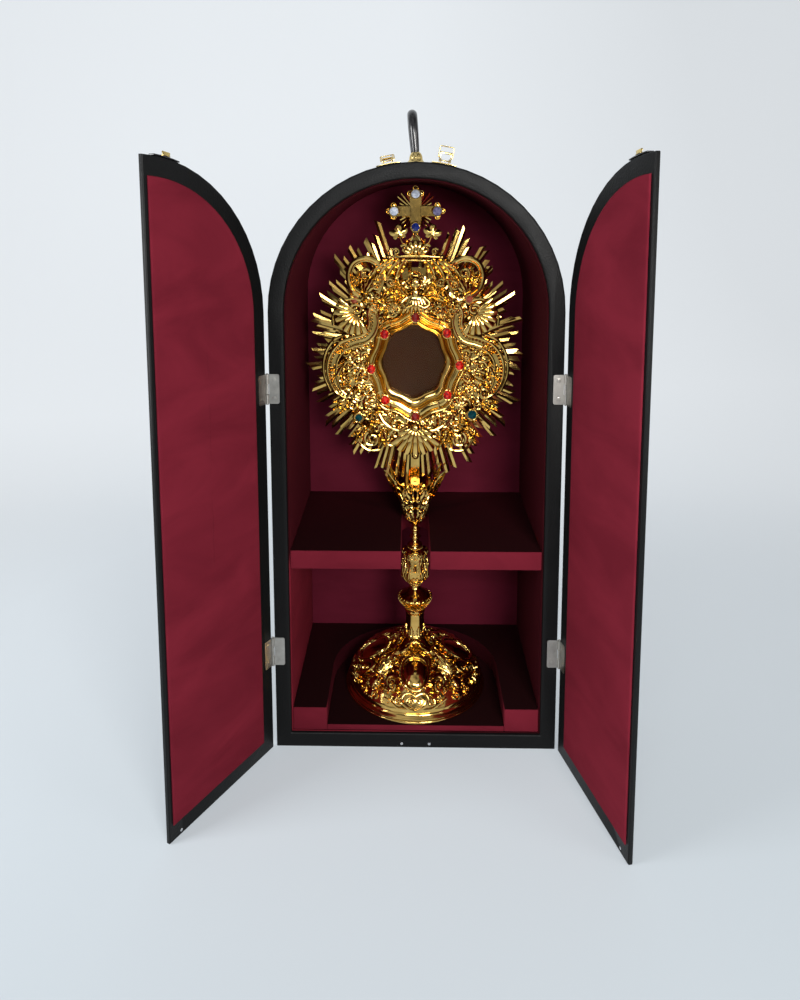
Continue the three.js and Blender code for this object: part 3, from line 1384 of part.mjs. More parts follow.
// Budded cross with short rays in its corners, and the tang that holds it behind the sunburst
function makeCross() {
  const front = -SUN_FRONT;
  const back = front + CROSS_THICKNESS;
  const half = CROSS_BAR / 2;
  const armHalf = CROSS_ARM_BAR / 2;
  const bars = [
    box([-half, half], [front, back], [CROSS_BOTTOM, CROSS_TOP - CROSS_BUD_RADIUS]),
    box(
      [CROSS_BUD_RADIUS - CROSS_HALF_SPAN, CROSS_HALF_SPAN - CROSS_BUD_RADIUS],
      [front, back],
      [CROSS_ARM_HEIGHT - armHalf, CROSS_ARM_HEIGHT + armHalf],
    ),
  ];
  const disc = (radius, x, z, forward = 0, segments = 6) =>
    rod(radius, [x, front - forward, z], [x, back, z], segments);
  const ends = [
    [0, CROSS_TOP - CROSS_BUD_RADIUS, 0, 1],
    [CROSS_BUD_RADIUS - CROSS_HALF_SPAN, CROSS_ARM_HEIGHT, -1, 0],
    [CROSS_HALF_SPAN - CROSS_BUD_RADIUS, CROSS_ARM_HEIGHT, 1, 0],
  ];
  const buds = ends.flatMap(([x, z, dx, dz]) => {
    const inward = 1.5 * CROSS_BUD_RADIUS;
    const out = half + 1;
    return [
      disc(CROSS_BUD_RADIUS, x, z),
      disc(CROSS_BUD_RADIUS, x - dx * inward + dz * out, z - dz * inward + dx * out),
      disc(CROSS_BUD_RADIUS, x - dx * inward - dz * out, z - dz * inward - dx * out),
      disc(CROSS_COLLET_RADIUS, x - dx * inward, z - dz * inward, CROSS_COLLET_DEPTH, 8),
    ];
  });
  const y = (front + back) / 2;
  const beams = [-1, 1].flatMap((sx) =>
    [-1, 1].flatMap((sz) =>
      CROSS_BEAMS.map(({ deg, reach }) => {
        const dx = sx * Math.cos(rad(deg)) * reach;
        const dz = sz * Math.sin(rad(deg)) * reach;
        return rod(CROSS_BEAM_RADIUS, [0, y, CROSS_ARM_HEIGHT], [dx, y, CROSS_ARM_HEIGHT + dz], 3);
      }),
    ),
  );
  const tangFront = SUN_THICKNESS - SUN_FRONT + SEAT;
  const tangBack = tangFront + CROSS_TANG_THICKNESS;
  const tangHalf = CROSS_TANG_WIDTH / 2;
  const step = CROSS_BOTTOM + CROSS_FOOT_HEIGHT;
  const tang = [
    box([-tangHalf, tangHalf], [front, tangBack], [CROSS_BOTTOM, step]),
    box([-tangHalf, tangHalf], [tangFront, tangBack], [CROSS_BOTTOM - CROSS_TANG, step]),
  ];
  piece(monstrance, "cross", "gold", join(...bars, ...buds, ...beams, ...tang));
}

makeShell();
makeInterior();
makeHingesAndDoors();
makeHandle();
makeLatch(-1, "left", LEFT_LEVER_DEG);
makeLatch(1, "right", RIGHT_LEVER_DEG);
makeFoot();
makeStem();
makeSunburst();
makeLuna();
makeWreath();
makeCross();

export default part;
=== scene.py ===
import json
import math
import random

import bmesh
import bpy
import numpy as np
from mathutils import Matrix, Vector, noise

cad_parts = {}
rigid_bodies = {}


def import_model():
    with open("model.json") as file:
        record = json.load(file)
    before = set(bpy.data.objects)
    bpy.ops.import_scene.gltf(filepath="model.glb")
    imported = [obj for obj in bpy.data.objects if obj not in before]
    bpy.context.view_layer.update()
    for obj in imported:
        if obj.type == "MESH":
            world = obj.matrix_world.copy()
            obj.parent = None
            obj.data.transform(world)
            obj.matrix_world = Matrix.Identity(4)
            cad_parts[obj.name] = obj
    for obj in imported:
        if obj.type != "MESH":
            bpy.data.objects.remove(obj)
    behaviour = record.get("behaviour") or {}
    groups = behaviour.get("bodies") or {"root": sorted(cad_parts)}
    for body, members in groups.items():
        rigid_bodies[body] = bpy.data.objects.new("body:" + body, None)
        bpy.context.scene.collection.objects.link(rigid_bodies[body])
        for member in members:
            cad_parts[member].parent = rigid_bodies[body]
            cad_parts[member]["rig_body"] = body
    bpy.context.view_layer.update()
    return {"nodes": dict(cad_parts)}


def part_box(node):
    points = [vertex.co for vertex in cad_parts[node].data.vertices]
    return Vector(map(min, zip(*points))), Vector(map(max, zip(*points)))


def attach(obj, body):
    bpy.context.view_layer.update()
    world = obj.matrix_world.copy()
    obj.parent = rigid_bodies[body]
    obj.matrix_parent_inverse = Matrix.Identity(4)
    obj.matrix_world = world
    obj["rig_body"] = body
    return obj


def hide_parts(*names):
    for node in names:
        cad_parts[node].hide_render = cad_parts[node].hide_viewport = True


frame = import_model()

MM = 0.001
TAU = 2 * math.pi


# Sizes taken from the frame
def box_mm(node):
    low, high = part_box(node)
    return np.array(low) / MM, np.array(high) / MM


SHELL_LOW, SHELL_HIGH = box_mm("case_shell")
HALF_WIDTH = SHELL_HIGH[0]
FRONT, CROWN = SHELL_LOW[1], SHELL_HIGH[2]
SPRING = CROWN - HALF_WIDTH
LUNA_LOW, LUNA_HIGH = box_mm("luna_frame")
RIM_LOW, RIM_HIGH = box_mm("foot_rim")
AXIS_Y = (RIM_LOW[1] + RIM_HIGH[1]) / 2
FOOT_Z = RIM_LOW[2]
FOOT_RADIUS = RIM_HIGH[0]


# Forms: points in millimetres and the faces between them
class Form:
    def __init__(self, points=(), faces=()):
        self.points = np.array(points, float).reshape(-1, 3)
        self.faces = [tuple(face) for face in faces]

    def moved(self, x=0.0, y=0.0, z=0.0):
        return Form(self.points + [x, y, z], self.faces)

    def scaled(self, x=1.0, y=1.0, z=1.0):
        faces = self.faces if x * y * z > 0 else [face[::-1] for face in self.faces]
        return Form(self.points * [x, y, z], faces)

    def turned(self, matrix):
        return Form(self.points @ np.array(matrix).T, self.faces)

    def turned_flat(self, degrees):
        """Turned clockwise as seen from the front, in the plane of X and Z."""
        return self.turned(Matrix.Rotation(math.radians(degrees), 3, "Y"))


def together(forms):
    points, faces, count = [], [], 0
    for form in forms:
        points.append(form.points)
        faces += [tuple(index + count for index in face) for face in form.faces]
        count += len(form.points)
    return Form(np.concatenate(points), faces) if points else Form()


def as_form(forms):
    return forms if isinstance(forms, Form) else together(forms)


def turns(count):
    """Angles of one full turn in equal steps."""
    return np.arange(count) * TAU / count


def oval(across, up, y, count):
    """Points round an oval that faces the front."""
    return [(across * math.cos(a), y, up * math.sin(a)) for a in turns(count)]


def level_ring(radius, z, count):
    """Points round a level circle about Z."""
    return [(radius * math.cos(a), radius * math.sin(a), z) for a in turns(count)]

def skin(rings, closed=False, caps=True):
    """A tube through rings of equal counts, closed on itself or capped at both ends."""
    rings = np.array(rings, float)
    count, around = rings.shape[:2]
    faces = []
    for i in range(count if closed else count - 1):
        for j in range(around):
            a, b = i * around + j, i * around + (j + 1) % around
            after = ((i + 1) % count) * around
            c, d = after + j, after + (j + 1) % around
            faces.append((a, b, d, c))
    if caps and not closed:
        faces.append(tuple(range(around))[::-1])
        faces.append(tuple(range((count - 1) * around, count * around)))
    return Form(rings.reshape(-1, 3), faces)


def unit(vectors):
    lengths = np.linalg.norm(vectors, axis=-1, keepdims=True)
    return vectors / np.maximum(lengths, 1e-9)


def spread(value, count):
    """One value for each of count points, from a number, a list or a function of 0 to 1."""
    if callable(value):
        return np.array([value(i / (count - 1)) for i in range(count)])
    value = np.atleast_1d(np.array(value, float))
    if len(value) == count:
        return value
    return np.interp(np.linspace(0, 1, count), np.linspace(0, 1, len(value)), value)


def sweep(path, radius, sides=8, height=1.0, facing=(0, -1, 0), closed=False):
    """A round or flattened bar along a path: height is its share of the radius towards facing."""
    path = np.array(path, float)
    count = len(path)
    if closed:
        along = unit(np.roll(path, -1, axis=0) - np.roll(path, 1, axis=0))
    else:
        along = unit(np.gradient(path, axis=0))
    facing = np.broadcast_to(np.array(facing, float), path.shape)
    across = unit(np.cross(along, facing))
    out = unit(np.cross(across, along))
    radii = spread(radius, count)
    heights = spread(height, count)
    angles = turns(sides)
    rings = (
        path[:, None]
        + across[:, None] * (radii[:, None] * np.cos(angles))[..., None]
        + out[:, None] * ((radii * heights)[:, None] * np.sin(angles))[..., None]
    )
    return skin(rings, closed)


def curve_point(p0, p1, p2, p3, t):
    """The point at t, from 0 to 1, on the Catmull-Rom curve between p1 and p2."""
    bend = 2 * p0 - 5 * p1 + 4 * p2 - p3
    twist = 3 * p1 - p0 - 3 * p2 + p3
    return 0.5 * (2 * p1 + (p2 - p0) * t + bend * t**2 + twist * t**3)


def smooth_path(points, count):
    """A Catmull-Rom curve through the points."""
    points = np.array(points, float)
    points = np.concatenate([[2 * points[0] - points[1]], points, [2 * points[-1] - points[-2]]])
    spans = len(points) - 3
    made = []
    for value in np.linspace(0, spans, count):
        i = min(int(value), spans - 1)
        made.append(curve_point(*points[i : i + 4], value - i))
    return np.array(made)


def ball(centre, radii, sides=12, rows=8):
    radii = np.broadcast_to(np.array(radii, float), 3)
    angles = turns(sides)
    rings = []
    for row in range(1, rows):
        tilt = math.pi * row / rows
        ring = np.stack(
            [np.cos(angles) * math.sin(tilt), np.sin(angles) * math.sin(tilt), 0 * angles - math.cos(tilt)],
            axis=1,
        )
        rings.append(ring * radii + centre)
    body = skin(rings, caps=False)
    poles = np.array([[0, 0, -radii[2]], [0, 0, radii[2]]]) + centre
    last = (rows - 2) * sides
    bottom, top = len(body.points), len(body.points) + 1
    faces = body.faces
    faces += [(bottom, (j + 1) % sides, j) for j in range(sides)]
    faces += [(top, last + j, last + (j + 1) % sides) for j in range(sides)]
    return Form(np.concatenate([body.points, poles]), faces)


def lathe(profile, around=96, swell=None):
    """A closed turned form about Z: swell(angle, place) is added to each radius."""
    rings = []
    count = len(profile)
    for i in range(around):
        angle = TAU * i / around
        ring = []
        for j, (radius, z) in enumerate(profile):
            r = radius + (swell(angle, j / (count - 1)) if swell else 0)
            ring.append((r * math.cos(angle), r * math.sin(angle), z))
        rings.append(ring)
    return skin(rings, closed=True)


def drum(centre, radius, depth, sides=16, rounding=0.15):
    """A short cylinder that stands towards the front, its far rim rounded."""
    profile = [(radius, 0), (radius, -depth + rounding), (radius - rounding, -depth)]
    angles = turns(sides)
    rings = [
        np.stack([r * np.cos(angles), np.full(sides, y), r * np.sin(angles)], axis=1) + centre
        for r, y in profile
    ]
    return skin(rings)


# Pieces: forms that become Blender objects
MERGE, NODE_MERGE = 1e-6, 2e-6
FLAT_DEGREES, EDGE_DEGREES, SMOOTH_DEGREES, FACET_DEGREES = 0.6, 30, 40, 5
EDGE_SEGMENTS = 2


def add_object(name, data):
    obj = bpy.data.objects.new(name, data)
    bpy.context.scene.collection.objects.link(obj)
    return obj


def solid(name, form):
    """An object of a form, with its doubled points joined and its faces looking out."""
    mesh = bpy.data.meshes.new(name)
    mesh.from_pydata((form.points * MM).tolist(), [], form.faces)
    work = bmesh.new()
    work.from_mesh(mesh)
    bmesh.ops.remove_doubles(work, verts=work.verts, dist=MERGE)
    bmesh.ops.recalc_face_normals(work, faces=work.faces)
    work.to_mesh(mesh)
    work.free()
    return add_object(name, mesh)


def settle(obj):
    """Turns the modifiers of a piece into its mesh."""
    graph = bpy.context.evaluated_depsgraph_get()
    mesh = bpy.data.meshes.new_from_object(obj.evaluated_get(graph))
    obj.modifiers.clear()
    obj.data = mesh


def round_edges(obj, width):
    modifier = obj.modifiers.new("edges", "BEVEL")
    modifier.width = width * MM
    modifier.segments = EDGE_SEGMENTS
    modifier.limit_method = "ANGLE"
    modifier.angle_limit = math.radians(EDGE_DEGREES)
    settle(obj)


def carve(obj, cutter_form):
    """Cuts a form out of a piece."""
    cutter = solid("cutter", cutter_form)
    modifier = obj.modifiers.new("slot", "BOOLEAN")
    modifier.object, modifier.operation, modifier.solver = cutter, "DIFFERENCE", "EXACT"
    settle(obj)
    bpy.data.objects.remove(cutter)


def finish_piece(obj, material, body, replaces, smooth=SMOOTH_DEGREES):
    mesh = obj.data
    mesh.materials.clear()
    mesh.materials.append(material)
    mesh.shade_smooth()
    mesh.set_sharp_from_angle(angle=math.radians(smooth))
    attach(obj, body)
    if replaces:
        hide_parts(*replaces)


def piece(name, forms, material, body, replaces=(), smooth=SMOOTH_DEGREES):
    obj = solid(name, as_form(forms))
    finish_piece(obj, material, body, replaces, smooth)
    return obj


def dressed(node, forms, material, body):
    """The piece that is shown in place of a node."""
    return piece(f"{node}_finish", forms, material, body, (node,))


def refined(node, material, bevel):
    """A node's own shape with its flat faces whole again and its edges rounded."""
    source = frame["nodes"][node]
    mesh = bpy.data.meshes.new(node + "_finish")
    work = bmesh.new()
    work.from_mesh(source.data)
    bmesh.ops.remove_doubles(work, verts=work.verts, dist=NODE_MERGE)
    flat = math.radians(FLAT_DEGREES)
    bmesh.ops.dissolve_limit(work, angle_limit=flat, verts=work.verts, edges=work.edges)
    work.to_mesh(mesh)
    work.free()
    obj = add_object(node + "_finish", mesh)
    if bevel:
        round_edges(obj, bevel)
    finish_piece(obj, material, source["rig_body"], (node,))
    return obj


# Materials
SOCKETS = {
    "colour": "Base Color", "metal": "Metallic", "roughness": "Roughness", "specular": "Specular IOR Level",
    "sheen": "Sheen Weight", "sheen_roughness": "Sheen Roughness", "sheen_tint": "Sheen Tint",
    "coat": "Coat Weight", "coat_roughness": "Coat Roughness", "transmission": "Transmission Weight",
    "ior": "IOR",
}
NO_LIGHT = (0, 0, 0)


class Nodes:
    """Short ways to add nodes to a tree and to join them."""

    def __init__(self, tree):
        self.tree = tree

    def join(self, value, socket):
        """Links an output to a socket or gives it a value: a colour may leave out its alpha."""
        if isinstance(value, bpy.types.NodeSocket):
            self.tree.links.new(value, socket)
        else:
            lacks_alpha = socket.type == "RGBA" and len(value) == 3
            socket.default_value = (*value, 1) if lacks_alpha else value

    def node(self, kind, *values, **named):
        """A node with values for its inputs in their order, or by their names."""
        made = self.tree.nodes.new("ShaderNode" + kind)
        for value, socket in zip(values, made.inputs):
            self.join(value, socket)
        for name, value in named.items():
            self.join(value, made.inputs[name])
        return made

    def noise(self, vector, scale, detail=2.0, roughness=0.5, distortion=0.0):
        node = self.node("TexNoise", vector, Scale=scale, Detail=detail, Roughness=roughness)
        node.inputs["Distortion"].default_value = distortion
        return node.outputs["Fac"]

    def ranged(self, value, low, high, start=0.0, end=1.0):
        """Goes from low to high while value goes from start to end."""
        return self.node("MapRange", value, start, end, low, high).outputs["Result"]

    def mixed(self, share, first, second):
        node = self.node("Mix", share)
        node.data_type = "RGBA"
        self.join(first, node.inputs[6])
        self.join(second, node.inputs[7])
        return node.outputs[2]

    def maths(self, operation, first, second):
        node = self.node("Math", first, second)
        node.operation = operation
        return node.outputs[0]

    def weighted(self, total, *terms):
        """A total to which each value is added times its weight."""
        for value, weight in terms:
            total = self.maths("ADD", total, self.maths("MULTIPLY", value, weight))
        return total


class Surface(Nodes):
    """The nodes of one material round its main shader."""

    def __init__(self, name):
        self.material = bpy.data.materials.new(name)
        self.material.use_nodes = True
        super().__init__(self.material.node_tree)
        self.shader = self.tree.nodes["Principled BSDF"]
        self.place = self.node("TexCoord").outputs["Object"]

    def set(self, **values):
        for key, value in values.items():
            self.join(value, self.shader.inputs[SOCKETS[key]])

    def bump(self, *layers):
        """Layers of height and how deep each is, in millimetres. Gives back the material."""
        normal = None
        for height, depth in layers:
            node = self.node("Bump", Strength=1.0, Distance=depth * MM, Height=height)
            if normal:
                self.join(normal, node.inputs["Normal"])
            normal = node.outputs["Normal"]
        self.join(normal, self.shader.inputs["Normal"])
        return self.material


def leatherette():
    n = Surface("leatherette")
    grain = n.node("TexVoronoi", Vector=n.place, Scale=520)
    grain.feature = "SMOOTH_F1"
    broad = n.noise(n.place, 14, 3)
    n.set(
        specular=0.14,
        colour=n.mixed(broad, (0.0034, 0.0036, 0.0037), (0.0064, 0.0066, 0.0068)),
        roughness=n.ranged(n.noise(n.place, 60, 4), 0.36, 0.54),
    )
    return n.bump((grain.outputs["Distance"], 0.2), (n.noise(n.place, 1400, 3), 0.05))


WALL_PAINTED_SHADE, INSIDE_PAINTED_SHADE, TOP_PAINTED_SHADE = (0.006, 0.001, 0.0015), (0.012, 0.0016, 0.003), (0.0085, 0.0021, 0.0024)
WALL_SHADE_SHARE, INSIDE_SHADE_SHARE = 0.86, 0.84
SHELF_LEVEL, BLOCK_DEPTH = (0.25, 0.27), (-0.106, -0.085)


def velvet(name, lit, shade, streak=7.0, shaded_by_side=False, shaded_by_depth=False):
    """Velvet with brushed streaks and patches, and painted shade where its faces look up. Shaded by side it
    has painted shade to the right and above the shelf too, shaded by depth behind the front."""
    n = Surface(name)
    pile = n.noise(n.place, 2600)
    turned = n.node("Mapping", n.place, Rotation=(0.2, 0.3, 0.5), Scale=(1.0, 1.0, 2.4)).outputs["Vector"]
    brushed = n.ranged(n.noise(turned, streak, 4, 0.6, 0.6), 0.0, 1.0, 0.34, 0.66)
    patches = n.noise(n.place, 26, 3, 0.55)
    colour = n.mixed(n.maths("MULTIPLY", brushed, n.ranged(patches, 0.7, 1.1)), shade, lit)
    x, y, z = n.node("SeparateXYZ", n.place).outputs
    # Painted shade: the walls are darkened to the right and above the shelf.
    if shaded_by_side:
        away = n.maths("MAXIMUM", n.ranged(x, 0.0, 1.0, -0.05, 0.05), n.ranged(z, 0.0, 1.0, *SHELF_LEVEL))
        colour = n.mixed(n.maths("MULTIPLY", away, WALL_SHADE_SHARE), colour, WALL_PAINTED_SHADE)
    # Painted shade: the block and the recess floor are darkened behind their front.
    if shaded_by_depth:
        inside = n.ranged(y, 0.0, 1.0, *BLOCK_DEPTH)
        colour = n.mixed(n.maths("MULTIPLY", inside, INSIDE_SHADE_SHARE), colour, INSIDE_PAINTED_SHADE)
    # Faces that look up are darkened: painted shade on the tops, such as the shelf and the floors.
    upward = n.node("SeparateXYZ", n.node("NewGeometry").outputs["Normal"]).outputs["Z"]
    n.set(
        specular=0.04, sheen=0.07, sheen_roughness=0.5, sheen_tint=(0.6, 0.06, 0.1),
        colour=n.mixed(n.ranged(upward, 0.0, 1.0, 0.5, 0.95), colour, TOP_PAINTED_SHADE),
        roughness=n.ranged(pile, 0.82, 0.98),
    )
    return n.bump((pile, 0.18), (patches, 0.25))


def metal(name, base, dark, rough, wave, scale):
    n = Surface(name)
    tarnish = n.ranged(n.noise(n.place, scale * 0.5, 4, 0.6), 0.0, 1.0, 0.35, 0.75)
    roughness = n.ranged(n.noise(n.place, scale * 2, 3), *rough)
    n.set(metal=1.0, colour=n.mixed(tarnish, base, dark), roughness=roughness)
    return n.bump((n.noise(n.place, scale * 2.5), wave), (n.noise(n.place, 1800), 0.004))


def enamel():
    n = Surface("black_enamel")
    n.set(
        specular=0.5, coat=0.3, coat_roughness=0.12,
        colour=n.mixed(n.noise(n.place, 30, 3), (0.006, 0.006, 0.007), (0.013, 0.013, 0.014)),
        roughness=n.ranged(n.noise(n.place, 90, 4), 0.16, 0.34),
    )
    return n.bump((n.noise(n.place, 420, 3), 0.03))


def stone(name, colour, second, gloss=0.8):
    n = Surface(name)
    # Cells mix the stone's colour with a darker one: painted glints that stand in for light off the facets.
    facets = n.node("TexVoronoi", Vector=n.place, Scale=430)
    share = n.ranged(n.node("SeparateColor", facets.outputs["Color"]).outputs[0], 0.0, 1.0, 0.25, 0.7)
    n.set(
        specular=0.5 * gloss, roughness=0.05, coat=0.6 * gloss, coat_roughness=0.03, ior=1.6,
        colour=n.mixed(share, second, colour),
    )
    return n.material


def pane(name, tint, clear):
    """Thin glass whose low index keeps its reflections faint."""
    n = Surface(name)
    n.set(colour=tint, roughness=0.0, transmission=clear, ior=1.12, specular=0.3)
    return n.material


GOLD_LIGHT = (0.86, 0.575, 0.18)
GOLD_DEEP = (0.5, 0.29, 0.06)
LEATHER = leatherette()
VELVET = velvet("velvet", (0.178, 0.0155, 0.0285), (0.126, 0.0105, 0.02))
# The back lining is a darker copy of the same velvet: painted shade.
VELVET_BACK_SHADED = velvet("velvet_back_shaded", (0.132, 0.0125, 0.028), (0.104, 0.0098, 0.0215), 9.0)
VELVET_BLOCK = velvet("velvet_block", (0.168, 0.0145, 0.027), (0.12, 0.01, 0.019), shaded_by_depth=True)
VELVET_WALL = velvet("velvet_wall", (0.182, 0.0145, 0.026), (0.128, 0.0098, 0.018), 9.0, shaded_by_side=True)
NICKEL = metal("nickel", (0.5, 0.48, 0.44), (0.34, 0.32, 0.29), (0.26, 0.46), 0.03, 140)
BRASS = metal("brass", (0.86, 0.66, 0.27), (0.6, 0.42, 0.13), (0.1, 0.25), 0.04, 160)
GOLD = metal("gold", GOLD_LIGHT, GOLD_DEEP, (0.05, 0.15), 0.1, 70)
GOLD_PLAIN = metal("gold_plain", GOLD_LIGHT, GOLD_DEEP, (0.06, 0.16), 0.05, 60)
STEEL = metal("magnet_steel", (0.66, 0.66, 0.67), (0.5, 0.5, 0.52), (0.12, 0.3), 0.02, 200)
BLACK = enamel()
PANE = pane("pane", (0.97, 0.93, 0.88), 1.0)
# The rear pane is tinted dark brown: painted shade on the view through the luna.
DARKENED_PANE = pane("darkened_pane", (0.42, 0.24, 0.14), 0.9)
RED = stone("red_stone", (0.86, 0.02, 0.006), (0.26, 0.0, 0.001))
DARK_RED = stone("dark_red_stone", (0.3, 0.015, 0.008), (0.16, 0.006, 0.003))
DULL_RED = stone("dull_red_stone", (0.32, 0.07, 0.035), (0.2, 0.03, 0.014), 0.3)
BLUE = stone("blue_stone", (0.012, 0.03, 0.22), (0.004, 0.012, 0.1))
TEAL = stone("teal_stone", (0.0, 0.05, 0.06), (0.0, 0.022, 0.03), 0.3)
OPAL = stone("opal_stone", (0.72, 0.78, 0.88), (0.5, 0.56, 0.68))
VIOLET = stone("violet_stone", (0.2, 0.19, 0.33), (0.1, 0.09, 0.2))


# Camera, as solved from the photograph, but standing lower and with its picture shifted less than the
# photograph's, so that the views from other sides stay framed.
EYE = (-7.7, -1066.245, 718.786)
YAW, PITCH, ROLL = 1.17533794, -7.03643535, 0.11343199
LENS = 27.966
SHIFT = (0.006, -0.2)
SENSOR, CLIP_NEAR, CLIP_FAR = 36, 0.01, 50


def place_camera():
    turn = (
        Matrix.Rotation(math.radians(YAW), 4, "Z")
        @ Matrix.Rotation(math.radians(PITCH), 4, "X")
        @ Matrix.Rotation(math.radians(ROLL), 4, "Y")
        @ Matrix.Rotation(math.radians(90), 4, "X")
    )
    data = bpy.data.cameras.new("camera")
    data.lens, data.sensor_width = LENS, SENSOR
    data.shift_x, data.shift_y = SHIFT
    data.clip_start, data.clip_end = CLIP_NEAR, CLIP_FAR
    camera = add_object("camera", data)
    camera.matrix_world = Matrix.Translation(Vector(EYE) * MM) @ turn
    bpy.context.scene.camera = camera


place_camera()


# Sweep of pale paper. The camera, glossy rays and glass see it by its own light, which grows with the
# distance from the case, and by the share of the lamps' light that it takes, which falls. Other rays meet
# plain paper of the same tone. That tone is painted light and shade: darker towards the front, lighter
# further back and higher, and darker towards the upper right.
PAPER_LOW = (0.435, 0.484, 0.52)
PAPER_HIGH = (0.86, 0.9, 0.935)
TONE_AT_CASE, TONE_RISE = 0.4, (-0.03, 0.52, 0.06)
CORNER_RISE, CORNER_TONE = (0.6, 0.3), 0.88
PAPER_GLOW, FAR_GLOW = 0.56, 0.8
PAPER_TAKES, FAR_TAKES = 0.62, 0.2
NEAR, FAR = 0.75, 1.3
WIDE = 6000
BEND_START, BEND_RADIUS = 700, 700
BEND_STEPS = 16


def paper_material():
    n = Surface("paper")
    x, y, z = n.node("SeparateXYZ", n.node("NewGeometry").outputs["Position"]).outputs
    share = n.ranged(n.weighted(TONE_AT_CASE, *zip((x, y, z), TONE_RISE)), 0.0, 1.0)
    corner = n.maths("MULTIPLY", x, n.weighted(0.0, *zip((y, z), CORNER_RISE)))
    tone = n.mixed(n.ranged(corner, 1.0, CORNER_TONE), NO_LIGHT, n.mixed(share, PAPER_LOW, PAPER_HIGH))
    n.set(specular=0.0, roughness=1.0, colour=tone)
    away = n.maths("POWER", n.weighted(0.0, (x, x), (y, y)), 0.5)
    glow = n.node("Emission", tone, n.ranged(away, PAPER_GLOW, FAR_GLOW, NEAR, FAR)).outputs[0]
    taken = n.mixed(n.ranged(away, PAPER_TAKES, FAR_TAKES, NEAR, FAR), NO_LIGHT, tone)
    both = n.node("AddShader", glow, n.node("BsdfDiffuse", taken).outputs[0]).outputs[0]
    path = n.node("LightPath").outputs
    shown = n.maths("MAXIMUM", path["Is Camera Ray"], path["Is Glossy Ray"])
    shown = n.maths("MAXIMUM", shown, path["Is Transmission Ray"])
    blend = n.node("MixShader", shown, n.shader.outputs[0], both).outputs[0]
    n.join(blend, n.tree.nodes["Material Output"].inputs["Surface"])
    return n.material


def make_paper():
    profile = [(-WIDE, 0)]
    for k in range(BEND_STEPS + 1):
        turn = math.pi / 2 * k / BEND_STEPS
        profile.append((BEND_START + BEND_RADIUS * math.sin(turn), BEND_RADIUS * (1 - math.cos(turn))))
    profile.append((BEND_START + BEND_RADIUS, WIDE))
    points = [(x * MM, y * MM, z * MM) for y, z in profile for x in (-WIDE, WIDE)]
    faces = [(2 * k, 2 * k + 1, 2 * k + 3, 2 * k + 2) for k in range(len(profile) - 1)]
    mesh = bpy.data.meshes.new("paper")
    mesh.from_pydata(points, [], faces)
    mesh.shade_smooth()
    mesh.materials.append(paper_material())
    add_object("paper", mesh)


# Lamps and world
def lamp(name, at, aim, width, power, colour, height=None):
    data = bpy.data.lights.new(name, "AREA")
    data.shape = "RECTANGLE"
    data.size, data.size_y = width * MM, (height or width) * MM
    data.energy, data.color = power, colour
    obj = add_object(name, data)
    direction = Vector(aim) - Vector(at)
    obj.rotation_euler = direction.to_track_quat("-Z", "Y").to_euler()
    obj.location = Vector(at) * MM


WORLD_COLOUR, WORLD_LIGHT = (0.84, 0.9, 0.97), 0.22
ROOM_COLOUR, ROOM_SCALE, ROOM_DETAIL = (0.93, 0.95, 0.98), 2.3, 1.5
ROOM_DIM, ROOM_BRIGHT, ROOM_FROM, ROOM_TO = 0.035, 0.6, 0.42, 0.6
PLAIN_COLOUR = (0.7, 0.76, 0.8)


def make_world():
    """Plain and pale to the camera, bright with dim parts to glossy rays and glass, else a soft light."""
    world = bpy.data.worlds.new("world")
    world.use_nodes = True
    n = Nodes(world.node_tree)
    light = n.node("Background", WORLD_COLOUR, WORLD_LIGHT).outputs[0]
    rooms = n.noise(n.node("TexCoord").outputs["Generated"], ROOM_SCALE, ROOM_DETAIL)
    strength = n.ranged(rooms, ROOM_DIM, ROOM_BRIGHT, ROOM_FROM, ROOM_TO)
    mirrored_room = n.node("Background", ROOM_COLOUR, strength).outputs[0]
    plain = n.node("Background", PLAIN_COLOUR, 1.0).outputs[0]
    path = n.node("LightPath").outputs
    shiny = n.maths("MAXIMUM", path["Is Glossy Ray"], path["Is Transmission Ray"])
    blend = n.node("MixShader", shiny, light, mirrored_room).outputs[0]
    direct = n.node("MixShader", path["Is Camera Ray"], blend, plain).outputs[0]
    n.join(direct, n.tree.nodes["World Output"].inputs["Surface"])
    bpy.context.scene.world = world


make_paper()
lamp("left_box", (-1400, -800, 760), (200, -180, 520), 700, 22, (0.98, 0.99, 1.0), 900)
lamp("right_box", (1400, -1000, 640), (-200, -180, 420), 700, 7, (1.0, 0.99, 0.97), 1100)
lamp("key", (430, -1480, 820), (0, 0, 400), 420, 15, (1.0, 0.98, 0.95))
lamp("front", (-160, -1500, 1030), (0, 0, 500), 480, 4.6, (0.95, 0.98, 1.0), 300)
make_world()
bpy.context.scene.view_settings.view_transform = "Standard"

# Case in its CAD shapes, with the edges rounded
for node in ("case_shell", "back_panel", "door_panel_left", "door_panel_right"):
    refined(node, LEATHER, bevel=0.9)
refined("wall_lining", VELVET_WALL, bevel=0)
refined("back_lining", VELVET_BACK_SHADED, bevel=0)
refined("shelf", VELVET, bevel=0.9)
for node in ("base_block", "recess_floor"):
    refined(node, VELVET_BLOCK, bevel=0.9)


# Ornament: relief forms that lie in the plane of X and Z and stand out towards the front
LEAF_DEPTH, SHELL_DEPTH = 1.2, 1.5
SHELL_ROWS, SHELL_EYE = 12, 0.14
STANDING = 0.9


